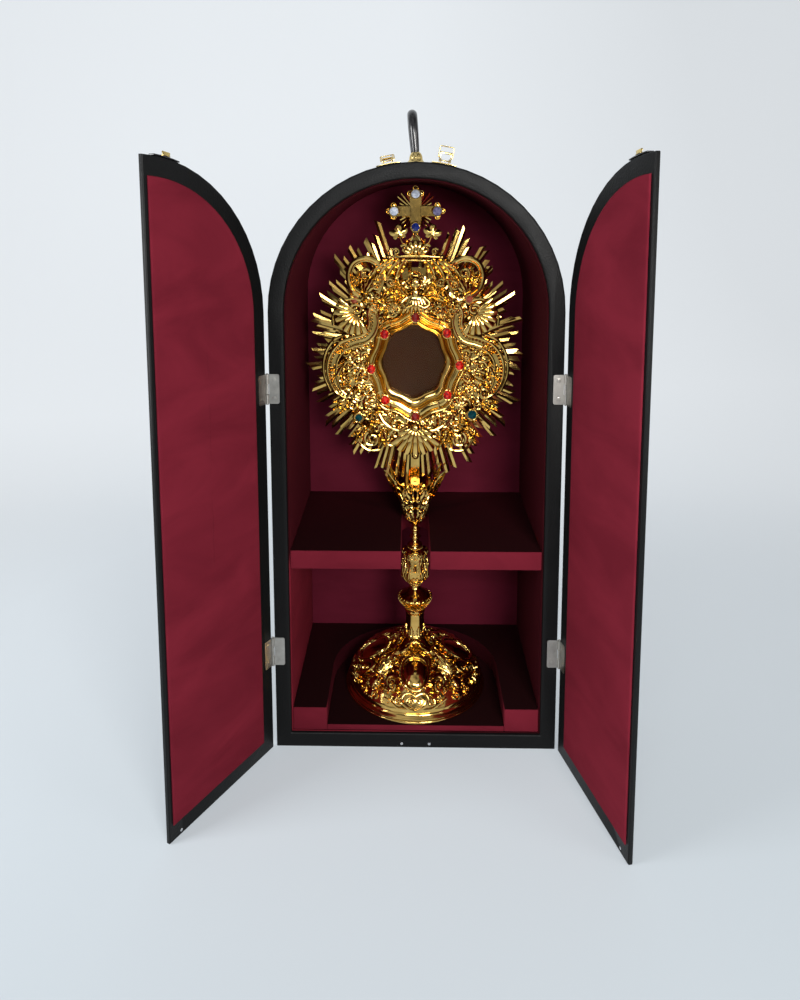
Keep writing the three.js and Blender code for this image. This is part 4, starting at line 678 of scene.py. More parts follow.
def relief(grid, depth):
    """A closed form with a grid of points as its face, and a flat back that much further back."""
    grid = np.array(grid, float)
    rows, columns = grid.shape[:2]
    points = grid.reshape(-1, 3)
    faces = []
    for i in range(rows - 1):
        for j in range(columns - 1):
            a = i * columns + j
            faces.append((a, a + 1, a + columns + 1, a + columns))
    rim = list(range(columns))
    rim += [i * columns + columns - 1 for i in range(1, rows)]
    rim += [(rows - 1) * columns + j for j in range(columns - 2, -1, -1)]
    rim += [i * columns for i in range(rows - 2, 0, -1)]
    behind = points[rim] + [0, depth, 0]
    start = len(points)
    count = len(rim)
    for k in range(count):
        after = (k + 1) % count
        faces.append((rim[k], start + k, start + after, rim[after]))
    faces.append(tuple(range(start, start + count)))
    return Form(np.concatenate([points, behind]), faces)


def leaf(length, width, lobes, lift, curl, ridge=1.2, rows=22, columns=9):
    """An acanthus leaf from the origin up Z: its lobes are notched, its tip curls to the front."""
    grid = []
    for i in range(rows):
        u = i / (rows - 1)
        taper = math.sin(math.pi * min(1.0, 0.12 + 0.88 * u) ** 0.75) ** 0.8
        notch = 1 - 0.34 * abs(math.cos(math.pi * lobes * u)) ** 3
        half = width / 2 * max(0.03, taper * notch)
        row = []
        for j in range(columns):
            v = 2 * j / (columns - 1) - 1
            fold = ridge * (math.cos(2.5 * math.pi * v) * 0.5 + 0.6 * (1 - v * v))
            fold += 0.45 * ridge * math.cos(TAU * lobes * u) * abs(v)
            rise = lift * math.sin(math.pi * u) + curl * length * max(0.0, u - 0.72) ** 2 * 6
            droop = 0.10 * length * abs(v) * (0.6 - u)
            row.append((half * v, -(fold + rise), length * u - abs(v) * half * 0.35 + droop * 0.3))
        grid.append(row)
    return relief(grid, LEAF_DEPTH)


def scallop(radius, span, ribs, lift):
    """A fluted shell that opens upwards from the origin."""
    rows, columns = SHELL_ROWS, ribs * 8 + 1
    grid = []
    for i in range(rows):
        u = i / (rows - 1)
        row = []
        for j in range(columns):
            v = j / (columns - 1)
            flute = 0.35 + 0.65 * math.sqrt(abs(math.sin(math.pi * ribs * v)))
            angle = math.radians(90 + span * (0.5 - v))
            reach = radius * (SHELL_EYE + (1 - SHELL_EYE) * u) * (0.93 + 0.07 * (1 - u + u * flute))
            out = lift * (0.35 + 0.65 * math.sin(math.pi * (0.1 + 0.8 * u)))
            out += 0.075 * radius * flute * (0.25 + u)
            row.append((reach * math.cos(angle), -out, reach * math.sin(angle)))
        grid.append(row)
    return relief(grid, SHELL_DEPTH)


def volute(centre, radius, start, sweep_deg, wire, shrink=0.28):
    """A curled bar that ends in a boss: its radius goes from radius to the share shrink."""
    path = []
    for u in np.linspace(0, 1, 40):
        angle = math.radians(start + sweep_deg * u)
        r = radius * (1 - (1 - shrink) * u**0.8)
        path.append((r * math.cos(angle), 0, r * math.sin(angle)))
    path = np.array(path) + centre
    return [sweep(path, lambda u: wire * (1 - 0.45 * u), 8, STANDING),
            ball(path[-1] - [0, 0.2 * wire, 0], 0.85 * wire, 10, 7)]


def curls(*rows):
    """Volutes from rows of X, Y, Z and the rest of what a volute takes."""
    return [form for x, y, z, *rest in rows for form in volute((x, y, z), *rest)]


def curve_bar(points, wire, count=40):
    return sweep(smooth_path(points, count), wire, 8, STANDING)


def bars(*rows):
    """Curved bars from rows of points, thickness and count."""
    return [curve_bar(*row) for row in rows]


def beading(path, radius, spacing):
    """Beads along a path."""
    path = np.array(path, float)
    steps = np.linalg.norm(np.diff(path, axis=0), axis=1)
    along = np.concatenate([[0], np.cumsum(steps)])
    count = max(2, int(along[-1] / spacing))
    made = []
    for k in range(count):
        place = along[-1] * (k + 0.5) / count
        made.append(ball([np.interp(place, along, path[:, axis]) for axis in range(3)], radius, 7, 5))
    return made


def mirrored(forms):
    return [form.scaled(x=-1) for form in forms]


def at_monstrance(forms):
    """From the monstrance's own axis and foot to the frame of the case."""
    return as_form(forms).moved(0, AXIS_Y, FOOT_Z)


def gilded(name, form, material=GOLD, replaces=(), smooth=SMOOTH_DEGREES):
    piece(name, form, material, "monstrance", replaces, smooth)


# Foot: stepped rim, lobed dome, and the chased reliefs laid on the dome
RIM_HEIGHT = RIM_HIGH[2] - RIM_LOW[2]
DOME_TOP = 71
DOME = [
    (0.93, 0), (0.915, 0.1), (0.85, 0.27), (0.73, 0.45), (0.565, 0.62), (0.385, 0.77), (0.24, 0.9),
    (0.165, 1),
]
DOME_SPANS = len(DOME) - 1
LOBE_DEPTH = 1.6


def dome_at(share):
    """Radius and height of the dome's surface, from its edge at 0 to its neck at 1."""
    place = share * DOME_SPANS
    i = min(int(place), DOME_SPANS - 1)
    near = [np.array(DOME[max(0, min(DOME_SPANS, i + k))]) for k in (-1, 0, 1, 2)]
    radius, height = curve_point(*near, place - i)
    return FOOT_RADIUS * radius, RIM_HEIGHT + height * (DOME_TOP - RIM_HEIGHT)


SLOPE_LENGTH = sum(math.dist(dome_at(k / 60), dome_at((k + 1) / 60)) for k in range(60))


def dome_lobe(angle, share):
    wave = 2 * abs(math.cos(4 * (angle + math.pi / 2))) - 1
    return LOBE_DEPTH * math.sin(math.pi * share) * wave


def on_dome(form, angle, share, lift=0.2):
    """A relief laid on the dome: its X runs round, its Z up the slope and its Y into the dome."""
    made = []
    for x, y, z in form.points:
        here = min(0.995, max(0.01, share + z / SLOPE_LENGTH))
        r, height = dome_at(here)
        further_r, further_height = dome_at(min(1.0, here + 0.01))
        along = unit(np.array([further_r - r, further_height - height]))
        out = -y + lift
        radius = r + dome_lobe(angle, here) + along[1] * out
        around = angle + x / max(12.0, r)
        made.append((radius * math.cos(around), radius * math.sin(around), height - along[0] * out))
    return Form(made, form.faces)


RIM_PROFILE = [
    (88, 0), (99.2, 0), (100, 0.6), (100, 2.2), (99.4, 3.0), (98, 3.4), (97.8, 4.0), (98.6, 4.6),
    (98.6, 5.4), (97.6, 6.4), (95.4, 7.2), (94.8, 7.8), (95.2, 8.4), (94.8, 9.4), (93.6, RIM_HEIGHT),
    (88, RIM_HEIGHT),
]
DOME_AROUND, DOME_ROWS = 160, 42
DOME_WALL, DOME_SKIN, NECK_RADIUS = 2.2, 1.4, 9


def make_foot():
    gilded("foot_rim_finish", at_monstrance(lathe(RIM_PROFILE, 128)), GOLD_PLAIN, ("foot_rim",))
    shell = []
    for angle in turns(DOME_AROUND):
        outside, inside = [], []
        for i in range(DOME_ROWS + 1):
            share = i / DOME_ROWS
            r, z = dome_at(share)
            lobe = dome_lobe(angle, share)
            radius = r + lobe
            outside.append((radius * math.cos(angle), radius * math.sin(angle), z + lobe / 2))
            inner = max(radius - DOME_WALL, NECK_RADIUS)
            low = max(z - DOME_SKIN, RIM_HEIGHT + 0.3)
            inside.append((inner * math.cos(angle), inner * math.sin(angle), low))
        shell.append(outside + inside[::-1])
    gilded("foot_dome_finish", at_monstrance(skin(shell, closed=True)), GOLD_PLAIN, ("foot_dome",))

    laid = []
    for quarter in range(4):
        angle = -math.pi / 2 + quarter * math.pi / 2
        laid += [on_dome(form, angle, 0.55) for form in foot_cartouche()]
        laid += [on_dome(form, angle + math.pi / 4, 0.36) for form in foot_spandrel()]
    gilded("foot_reliefs", at_monstrance(laid))


def foot_cartouche():
    """An oval boss in a beaded frame, a heart below it, scrolls beside it and leaves up to the shaft."""
    forms = [ball((0, 1.5, 0), (17, 7.2, 16), 28, 16)]
    forms.append(sweep(oval(18.3, 17.2, -1.4, 56), 1.8, 8, closed=True))
    outer = oval(21.2, 20.0, -0.8, 48)
    forms += beading(outer + outer[:1], 1.2, 3.1)
    pair = bars(
        ([(x, -1.2, z) for x, z in ((0, -23), (8, -20), (16, -23), (18, -30), (12, -38), (0, -45))], 2.0),
        ([(0, -1, -27), (6, -1, -25), (11, -1, -28), (10, -1, -33), (0, -1, -40)], 1.0, 30),
        ([(12, -0.8, -42), (22, -1.4, -42), (32, -1.2, -36), (43, -0.8, -31)], 1.9, 30),
        ([(22, -0.6, 18), (16, -1.5, 24), (9, -1.4, 29), (5, -1.0, 37)], 1.9, 26),
        ([(9, -0.8, 21), (13, -1.4, 30), (7, -1.2, 37), (9, -0.8, 45)], 1.5, 26),
    )
    pair += curls(
        (5.5, -1.2, -31, 4.0, 60, 420, 1.3), (32, -1.0, -14, 11.5, 170, -520, 2.7, 0.16),
        (27, -1.0, 9, 7.5, -120, 430, 2.2), (22, -1.0, -33, 5.5, 60, -420, 1.8),
    )
    for tilt, length, x, z in (
        (70, 17, 38, -22), (100, 15, 40, -8), (40, 17, 31, 14), (150, 14, 31, -26), (20, 14, 20, -26),
    ):
        pair.append(leaf(length, 0.5 * length, 4, 1.0, 0.08).turned_flat(tilt).moved(x, -0.6, z))
    forms += pair + mirrored(pair)
    for tilt, length in ((-34, 17), (-17, 23), (0, 28), (17, 23), (34, 17)):
        forms.append(leaf(length, 6.8, 4, 1.2, 0.06).turned_flat(tilt).moved(0, -0.4, 17))
    forms.append(scallop(9, 170, 7, 1.8).moved(0, -1.0, 34))
    return forms


def foot_spandrel():
    """A roundel between the cartouches with leaves all round it."""
    forms = [ball((0, 0, 0), (7.4, 3.8, 7.6), 20, 12)]
    forms.append(sweep(oval(9.2, 9.5, -0.6, 36), 1.5, 8, closed=True))
    for tilt, length in ((-56, 20), (-36, 25), (-18, 31), (0, 36), (18, 31), (36, 25), (56, 20)):
        forms.append(leaf(length, 8, 5, 1.2, 0.08).turned_flat(tilt).moved(0, -0.3, 8))
    for tilt in (-130, -105, -80, 80, 105, 130):
        forms.append(leaf(17, 8, 4, 1.0, 0.08).turned_flat(tilt).moved(0, -0.3, -1))
    for side in (-1, 1):
        forms += curls((side * 12, -0.8, -14, 6.5, 90, side * 430, 2.0),
                       (side * 5, -0.8, -19, 4.2, 90, side * -430, 1.5))
    return forms


# Stem: turned and gadrooned sleeves with leaves laid on them
BORE = 3.4


def turned_leaf(form, radius_at, angle, base):
    """A relief bent round the stem: radius_at gives the sleeve's radius at a height."""
    made = []
    for x, y, z in form.points:
        r = radius_at(base + z) - y
        around = angle + x / max(4.0, radius_at(base + z))
        made.append((r * math.cos(around), r * math.sin(around), base + z))
    return Form(made, form.faces)


def sleeve(shares, radius, low, high, count, around=96, swell=None):
    """A bored sleeve between two heights, and its radius as a function of the height."""
    points = smooth_path([(r * radius, 0, low + h * (high - low)) for r, h in shares], count)
    profile = [(p[0], p[2]) for p in points]
    radii, heights = zip(*profile)
    bored = [(BORE, heights[0])] + profile + [(BORE, heights[-1])]
    return lathe(bored, around, swell), lambda z: float(np.interp(z, heights, radii))


def beads_round(radius, z, count, size):
    return [ball(point, size, 7, 5) for point in level_ring(radius, z, count)]


def stem_piece(node, forms, material=GOLD):
    gilded(f"{node}_finish", at_monstrance(forms), material, (node,))


def make_shaft():
    shares = [
        (1.22, 0), (1.27, 0.05), (1.12, 0.12), (1.04, 0.3), (1.0, 0.6), (1.02, 0.86), (1.1, 0.94),
        (1.05, 1),
    ]
    body, at = sleeve(shares, 13.4, 71.3, 111, 40)
    leaves = [turned_leaf(leaf(15, 10, 4, 0.3, 0.0, 0.8), at, TAU * (k + 0.5) / 8, 74) for k in range(8)]
    stem_piece("stem_shaft", [body] + leaves, GOLD_PLAIN)


def knop_flute(angle, share):
    return -0.9 * abs(math.sin(12 * angle)) ** 0.8 * math.sin(math.pi * min(1, share * 1.7)) ** 2


def make_knop():
    shares = [
        (0.5, 0), (0.62, 0.1), (0.8, 0.24), (0.94, 0.38), (0.98, 0.47), (0.82, 0.57), (0.56, 0.68),
        (0.34, 0.82), (0.3, 1),
    ]
    body, at = sleeve(shares, 24.2, 111.3, 150, 48, 216, knop_flute)
    forms = [body]
    for k in range(24):
        angle = TAU * (k + 0.5) / 24
        forms.append(turned_leaf(leaf(15, 5.0, 3, 0.6, 0.0, 1.1), at, angle, 113.5))
        forms.append(turned_leaf(ball((0, -0.6, 0), (2.0, 1.4, 1.7), 10, 7), at, angle + TAU / 48, 130.5))
        forms.append(turned_leaf(ball((0, -0.4, 0), (1.2, 1.0, 1.2), 8, 6), at, angle, 117))
    forms += beads_round(12.6, 112.6, 40, 1.3) + beads_round(8.0, 147.4, 40, 1.0)
    stem_piece("stem_knop", forms)


def baluster_panel():
    """A cartouche with scrolled edges, hatching and shells."""
    laid = []
    for side in (-1, 1):
        edge = [(5, -21), (9.5, -15), (8.2, -5), (6.6, 3), (8.8, 11), (7.6, 17)]
        laid.append(curve_bar([(side * x, -0.6, z) for x, z in edge], 1.15, 30))
        laid += curls((side * 5.0, -1.2, 20.5, 4.0, 90 - side * 60, side * -420, 1.2),
                      (side * 3.6, -0.8, -16.5, 3.2, 90, side * 400, 1.0))
        laid.append(leaf(17, 5.4, 4, 0.6, 0.05, 0.9).turned_flat(side * 10).moved(side * 12.5, 0, -8))
        for k in range(5):
            low = -10 + 4.4 * k
            laid.append(sweep([(-side * 5.4, -0.4, low), (side * 5.4, -0.7, low + 6.5)], 0.42, 6))
    laid.append(scallop(8.5, 150, 7, 1.4).moved(0, -0.4, 11.5))
    laid.append(scallop(5.5, 150, 5, 1.0).scaled(z=-1).moved(0, -0.3, -14))
    laid.append(leaf(12, 6, 4, 0.5, 0.05, 0.8).moved(0, -0.6, -4))
    return laid


def baluster_strap():
    """Two waving bars with beads between them."""
    waves = [(1.5, -22), (-1.5, -12), (1.2, 0), (-1.2, 11), (0.6, 19)]
    strap = [curve_bar([(x + shift, -0.7, z) for x, z in waves], 1.0, 26) for shift in (-2.6, 2.6)]
    return strap + [ball((0, -0.6, z), (1.4, 1.0, 1.4), 8, 6) for z in (-14, -5, 4, 13)]


def make_baluster():
    shares = [
        (0.35, 0), (0.6, 0.05), (0.88, 0.16), (0.96, 0.31), (0.9, 0.51), (0.8, 0.72), (0.84, 0.87),
        (0.55, 0.94), (0.45, 1),
    ]
    body, at = sleeve(shares, 20, 150.3, 205.5, 56, 120)
    forms = [body]
    for face in range(4):
        angle = face * math.pi / 2
        forms += [turned_leaf(form, at, angle, 177.5) for form in baluster_panel()]
        forms += [turned_leaf(form, at, angle + math.pi / 4, 177.5) for form in baluster_strap()]
    for z in (203.4, 152.4):
        forms += beads_round(at(z) + 0.5, z, 32, 1.1)
    stem_piece("stem_baluster", forms)


def make_collar():
    shares = [
        (0.87, 0), (1, 0.06), (0.6, 0.16), (0.5, 0.28), (0.79, 0.37), (0.48, 0.48), (0.48, 0.6), (0.73, 0.68),
        (0.5, 0.78), (0.62, 0.88), (0.96, 1),
    ]
    stem_piece("stem_collar", sleeve(shares, 10.4, 205.8, 241, 60, 72)[0])


def calyx_rib(angle, share):
    return 0.8 * math.cos(8 * angle + math.pi) * math.sin(math.pi * share)


def calyx_front(forms, flared):
    """Leaves, curls and beads in front of the calyx, and a wing on each side."""
    front = -math.pi / 2
    for tilt, length, width, x, base, lift in (
        (-34, 30, 12, -6, 262, 0.5), (34, 30, 12, 6, 262, 0.5), (-18, 34, 12, -5, 272, 1.6),
        (18, 34, 12, 5, 272, 1.6), (0, 44, 16, 0, 256, 2.4), (-14, 22, 10, -4, 292, 3.2),
        (14, 22, 10, 4, 292, 3.2), (0, 30, 11, 0, 280, 4.6),
    ):
        bract = leaf(length, width, 6, 1.4, 0.12, 1.6).turned_flat(tilt).moved(x, -lift, 0)
        forms.append(turned_leaf(bract, flared, front, base))
    for side in (-1, 1):
        for x, z, radius, turn, wire in (
            (12.5, 277, 7.4, 430, 1.9), (9, 293, 5.2, -430, 1.5), (6.5, 262, 4.2, -400, 1.4),
            (5, 305, 3.4, 400, 1.2),
        ):
            curl = volute((side * x, -2.6, 0), radius, 90, side * turn, wire)
            forms += [turned_leaf(form, flared, front, z) for form in curl]
        for z, x in ((268, 3), (284, 2.5), (300, 2)):
            forms.append(turned_leaf(ball((side * x, -5.4, 0), 1.7, 10, 8), flared, front, z))
        for tilt, length, y, z in ((20, 62, 2, 268), (31, 56, 6, 266)):
            wing = leaf(length, 10, 6, 1.2, 0.02, 1.1).turned_flat(side * tilt)
            forms.append(wing.moved(side * 16, y, z))


def make_calyx():
    shares = [(0.35, 0), (0.48, 0.1), (0.66, 0.28), (0.7, 0.5), (0.76, 0.75), (0.9, 0.96), (0.86, 1)]
    body, at = sleeve(shares, 28, 241.3, 300, 56, 160, calyx_rib)
    forms = [body]

    def flared(z):
        return at(z) + 0.012 * max(0.0, z - 280) ** 2

    for k in range(12):
        angle = TAU * (k + 0.5) / 12
        length = 44 if math.sin(angle) < -0.6 else 70
        forms.append(turned_leaf(leaf(length, 14, 6, 0.5, 0.02, 1.4), flared, angle, 250))
        forms.append(turned_leaf(leaf(26, 9, 4, 0.6, 0.08, 1.0), at, angle + TAU / 24, 246))
    calyx_front(forms, flared)
    forms += beads_round(10.4, 244.5, 30, 1.15)
    stem_piece("stem_calyx", forms)


make_foot()
make_shaft()
make_knop()
make_baluster()
make_collar()
make_calyx()


# Sunburst: bundles of straight narrow blades with slanting ends
LUNA_Z = (LUNA_HIGH[2] + LUNA_LOW[2]) / 2 - FOOT_Z
SUN_TOP, SUN_SIDE, SUN_CENTRE = 176, 152, 487
PLATE_FRONT = -4.8
PLATE_SIDE, PLATE_TOP = 98, 116
PLATE_REAR, PLATE_FACE = 0.6, -1.5
OPEN_SIDE, OPEN_TOP = 46, 52
TANG_HALF, TANG_LOW, TANG_HIGH = 6, 262, 385
BUNDLES, TANG_GAP = 38, 19
RAY_START, SPACING, SHORTENING, SHORTER_BUNDLE = 78, 6.0, 0.05, 0.955
RAY_TURN, RAY_RIDGE, RAY_LEAN = 0.8, 1.3, 0.9
RAY_SLANTS, RAY_WIDTHS = (4.0, 9.0), (6.0, 7.6)
RAY_LAYER, RAY_LAYER_STEP, RAY_LOOSE = -3.6, 1.9, 0.2
CREST_SPREAD, CREST_REACH, CREST_GROWTH = 11, 112, 4
OUTLINE = [
    (0, 1.06), (12, 1.1), (22, 1.1), (35, 1.07), (50, 1.02), (70, 1.02), (90, 1.03), (120, 1.05),
    (145, 1.07), (165, 1.06), (180, 1.03),
]
LOW_RAYS, LOW_REACH, LOW_ROUNDING, LOW_NOTCH = 13, 193, 0.42, 7
LOW_STEP, LOW_LOOSE, LOW_RAGGED = 3.0, 0.2, 2
LOW_WIDTHS, LOW_SLANT, LOW_LEAN, LOW_RIDGE, LOW_LAYER = (6.2, 7.4), 7, 1.3, 1.5, -3.8
FALL, LOW_FALL = 0.06, 0.07
BLADE_BACK = 0.9


def blade(angle, offset, start, end, width, slant, y, ridge, lean=0.0, fall=0.0):
    """A straight bar with a low ridge and a slanting end; lean raises an edge, fall sinks the far end."""
    along = np.array([math.cos(angle), 0, math.sin(angle)])
    across = np.array([-math.sin(angle), 0, math.cos(angle)])
    front = np.array([0, -1, 0])
    left_end, right_end = (end, end - slant) if slant > 0 else (end + slant, end)
    rings = []
    for left, right in ((start, start), (left_end, right_end)):
        middle = along * (left + right) / 2 + across * offset
        rings.append([
            along * left + across * (offset + width / 2) + front * lean,
            middle + front * ridge,
            along * right + across * (offset - width / 2) - front * lean,
            middle - front * BLADE_BACK,
        ])
    rings = np.array(rings) + [0, y, 0]
    rings[1] -= front * fall * (end - start)
    return skin(rings)


def outline_reach(angle):
    """How far the longest rays reach at an angle: an oval, stretched by OUTLINE at degrees from the top."""
    reach = 1 / math.hypot(math.cos(angle) / SUN_SIDE, math.sin(angle) / SUN_TOP)
    from_top = abs((math.degrees(angle) - 90 + 180) % 360 - 180)
    return reach * float(np.interp(from_top, *zip(*OUTLINE)))


def sun_plate():
    """The plate behind the rays, open behind the lens, and its tang down into the calyx."""
    section = ((0, PLATE_FACE), (1, PLATE_FACE), (1, PLATE_REAR), (0, PLATE_REAR))
    rings = []
    for angle in turns(96):
        ring = []
        for share, y in section:
            x = (OPEN_SIDE + (PLATE_SIDE - OPEN_SIDE) * share) * math.cos(angle)
            centre = LUNA_Z + (SUN_CENTRE - LUNA_Z) * share
            z = centre + (OPEN_TOP + (PLATE_TOP - OPEN_TOP) * share) * math.sin(angle)
            ring.append((x, y, z))
        rings.append(ring)
    tang = [[((2 * share - 1) * TANG_HALF, y, z) for share, y in section] for z in (TANG_LOW, TANG_HIGH)]
    return [skin(rings, closed=True), skin(tang)]


def bundle_of_rays(draw, bundle):
    """Three or four rays that shorten to one side of the bundle."""
    degrees = 360 * (bundle + 0.5) / BUNDLES
    angle = math.radians(degrees)
    from_top = abs(degrees - 90)
    longest = outline_reach(angle) * (1.0 if bundle % 2 else SHORTER_BUNDLE)
    if from_top < CREST_SPREAD:
        longest = min(longest, CREST_REACH + CREST_GROWTH * from_top)
    count = 4 - bundle % 2
    lead = draw.choice((-1, 1))
    rays = []
    for k in range(count):
        place = k - (count - 1) / 2
        step = k if lead > 0 else count - 1 - k
        drop = SHORTENING * (step % 3) + draw.uniform(0, SHORTENING)
        turn = angle + math.radians(RAY_TURN * place)
        slant = lead * draw.uniform(*RAY_SLANTS)
        depth = RAY_LAYER + RAY_LAYER_STEP * (k % 2) + draw.uniform(-RAY_LOOSE, RAY_LOOSE)
        width = draw.uniform(*RAY_WIDTHS)
        lean = draw.uniform(-RAY_LEAN, RAY_LEAN)
        end = longest * (1 - drop)
        rays.append(blade(turn, SPACING * place, RAY_START, end, width, slant, depth, RAY_RIDGE, lean, FALL))
    return rays


def low_ray(draw, k):
    """One of the even rays over the tang, the middle ones the longest."""
    place = k - (LOW_RAYS - 1) / 2
    angle = math.radians(270 + LOW_STEP * place + draw.uniform(-LOW_LOOSE, LOW_LOOSE))
    end = LOW_REACH - LOW_ROUNDING * place * place - (LOW_NOTCH if k % 3 == 1 else 0)
    end += draw.uniform(-LOW_RAGGED, LOW_RAGGED)
    width, depth = draw.uniform(*LOW_WIDTHS), LOW_LAYER + RAY_LAYER_STEP * (k % 2)
    slant, lean = draw.uniform(-LOW_SLANT, LOW_SLANT), draw.uniform(-LOW_LEAN, LOW_LEAN)
    return blade(angle, 0, RAY_START, end, width, slant, depth, LOW_RIDGE, lean, LOW_FALL)


def make_sunburst():
    draw = random.Random(11)
    rays = []
    for bundle in range(BUNDLES):
        if abs(360 * (bundle + 0.5) / BUNDLES - 270) >= TANG_GAP:
            rays += bundle_of_rays(draw, bundle)
    rays += [low_ray(draw, k) for k in range(LOW_RAYS)]
    rays = [ray.moved(0, 0, SUN_CENTRE) for ray in rays]
    gilded("sunburst_finish", at_monstrance(rays + sun_plate()), GOLD_PLAIN, ("sunburst",), 20)


# Luna: frame of concentric wavy mouldings, stones in collets, panes and the door behind
LENS_SIDE, LENS_TOP = 41, 48.5
LENS_LEFT, LENS_RAISED = 2.5, 6.5
LUNA_SIDE, LUNA_TOP, LUNA_UP, LUNA_DEPTH = 26.5, 29.5, 1.0, 12
LUNA_LOBES, LENS_LOBE, LOBE_GROWTH = 8, 0.031, 0.018
WREATH_SIDE, WREATH_TOP = 63, 75
PANE_LAP, PANE_FRONT, PANE_BACK = 3.5, -3.9, -2.7
LUNA_STEPS = [
    (0, 0), (0, 0.34), (0.005, 0.7), (0.02, 0.84), (0.045, 0.9), (0.075, 0.86), (0.095, 0.72), (0.105, 0.56),
    (0.13, 0.5), (0.18, 0.52), (0.24, 0.58), (0.3, 0.68), (0.345, 0.8), (0.36, 0.9), (0.38, 0.95), (0.4, 0.9),
    (0.41, 0.76), (0.43, 0.72), (0.445, 0.82), (0.465, 0.98), (0.49, 1.0), (0.51, 0.92), (0.52, 0.78),
    (0.55, 0.74), (0.62, 0.8), (0.69, 0.8), (0.745, 0.7), (0.76, 0.56), (0.78, 0.54), (0.8, 0.66),
    (0.84, 0.8), (0.89, 0.84), (0.935, 0.74), (0.965, 0.54), (0.985, 0.3), (1, 0),
]
STONE_PLACES = {
    "right": (60.3, 2.8), "upper_right": (43, 47.5), "top": (0, 69), "upper_left": (-42.2, 46),
    "left": (-60.5, -2.5), "lower_left": (-41.5, -46), "bottom": (0, -69.5), "lower_right": (44.2, -38.5),
}


def luna_point(angle, across, forward):
    """A point of the frame: across runs from the lens at 0 to the outer edge at 1."""
    lobe = 1 + (LENS_LOBE + LOBE_GROWTH * across) * math.cos(LUNA_LOBES * angle)
    x = (LENS_SIDE + across * LUNA_SIDE) * lobe * math.cos(angle) - LENS_LEFT * (1 - across)
    z = (LENS_TOP + across * LUNA_TOP) * lobe * math.sin(angle) + LENS_RAISED * (1 - across) + LUNA_UP
    return x, -forward * LUNA_DEPTH, z


def at_luna(forms):
    return at_monstrance(as_form(forms).moved(0, PLATE_FRONT, LUNA_Z))


def collet(centre, radius, height=2.4):
    """A rimmed cup with claws for a stone."""
    centre = np.array(centre, float)
    circle = centre + oval(radius, radius, -height, 24)
    forms = [drum(centre, radius, height, 24, 0.4), sweep(circle, 0.8, 8, closed=True)]
    claws = centre + oval(0.92 * radius, 0.92 * radius, -height - 0.9, 8)
    return forms + [ball(claw, (0.8, 1.0, 0.8), 6, 5) for claw in claws]


def cut_stone(centre, radius, depth, sides=8):
    """A cushion-cut stone: girdle, two rows of facets and a table."""
    rings = []
    for share, rise in ((1.0, 0.0), (0.97, 0.3), (0.74, 0.72), (0.4, 1.0)):
        angles = turns(sides) + (math.pi / sides if share < 0.9 else 0)
        x, z = share * radius * np.cos(angles), share * radius * np.sin(angles)
        rings.append(np.stack([x, np.full(sides, -rise * depth), z], 1) + centre)
    return skin(rings)


def lens_oval(grown, near, far):
    """An oval slab behind the lens opening, larger than it by grown, in the frame of the luna."""
    rings = []
    for y in (near, far):
        angles = turns(96)
        x = (LENS_SIDE + grown) * np.cos(angles) - LENS_LEFT
        z = (LENS_TOP + grown) * np.sin(angles) + LENS_RAISED + LUNA_UP
        rings.append(np.stack([x, np.full(96, y), z], 1))
    return skin(rings)


def make_luna():
    rings = [[luna_point(angle, *step) for step in LUNA_STEPS] for angle in turns(288)]
    forms = [skin(rings, closed=True)]
    for name, (x, z) in STONE_PLACES.items():
        forms.append(together(collet((0, 0, 0), 6.2, 2.6)).scaled(z=1.14).moved(x, -9.2, z))
        cut = cut_stone((0, 0, 0), 5.8, 3.6).scaled(z=1.16).moved(x, -11.8, z)
        red = DARK_RED if name in ("top", "bottom") else RED
        gilded(f"stone_{name}", at_luna(cut), red, smooth=FACET_DEGREES)
    for k in range(4):
        corner = TAU * (k + 0.5) / 4
        for turn in (-0.16, 0.16):
            a = np.array(luna_point(corner + turn, 0.5, 0.7))
            b = np.array(luna_point(corner + turn * 1.5, 1.0, 0.4))
            forms.append(sweep([a, (a + b) / 2 - [0, 2.6, 0], b], [0.9, 1.5, 0.9], 8))
    gilded("luna_frame_finish", at_luna(forms), GOLD_PLAIN, ("luna_frame",))
    glass = lens_oval(PANE_LAP, PANE_FRONT, PANE_BACK)
    dressed("luna_glass_front", at_luna(glass), PANE, "monstrance")


# Wreath: rocaille band, beaded scrolls, shells, sprays, palmette, figure and canopy
def beaded_band(points, y, wire, gap, bead, spacing, count=70):
    """A rim, a row of beads and a hollow flank with an inner rim; gap is positive to the right of the way."""
    path = smooth_path([(x, y, z) for x, z in points], count)
    along = unit(np.gradient(path, axis=0))
    right = unit(np.cross(along, [0, -1, 0]))
    along_it = np.linspace(0, 1, len(path))
    ends = np.minimum(1, 5 * np.minimum(along_it, 1 - along_it))[:, None]
    shift = right * gap * (0.4 + 0.6 * ends)
    inner = path + shift
    forms = [sweep(path, wire, 8, 1.0), sweep(inner, 0.7 * wire, 8, 1.0)]
    forms += beading(path + right * np.sign(gap) * (wire + 0.8 * bead) - [0, 0.4, 0], bead, spacing)
    profile = [
        (0.0, 1.2), (0.3, 0.4), (0.55, 0.9), (0.75, 1.3), (0.9, 0.9), (1.0, 0.6), (1.0, 4.0), (0.0, 4.0),
    ]
    rings = np.stack([path + shift * share + [0, back, 0] for share, back in profile], 1)
    forms.append(skin(rings))
    return forms


def spray(at, tilt, lengths, width, spread_deg, y=-8):
    """Leaves that fan out from one place."""
    forms = []
    for k, length in enumerate(lengths):
        turn = tilt + spread_deg * (k - (len(lengths) - 1) / 2)
        made = leaf(length, width, 5, 2.6, 0.35, 1.5).turned_flat(turn)
        forms.append(made.moved(at[0], y - 0.6 * (k % 2), at[1]))
    return forms


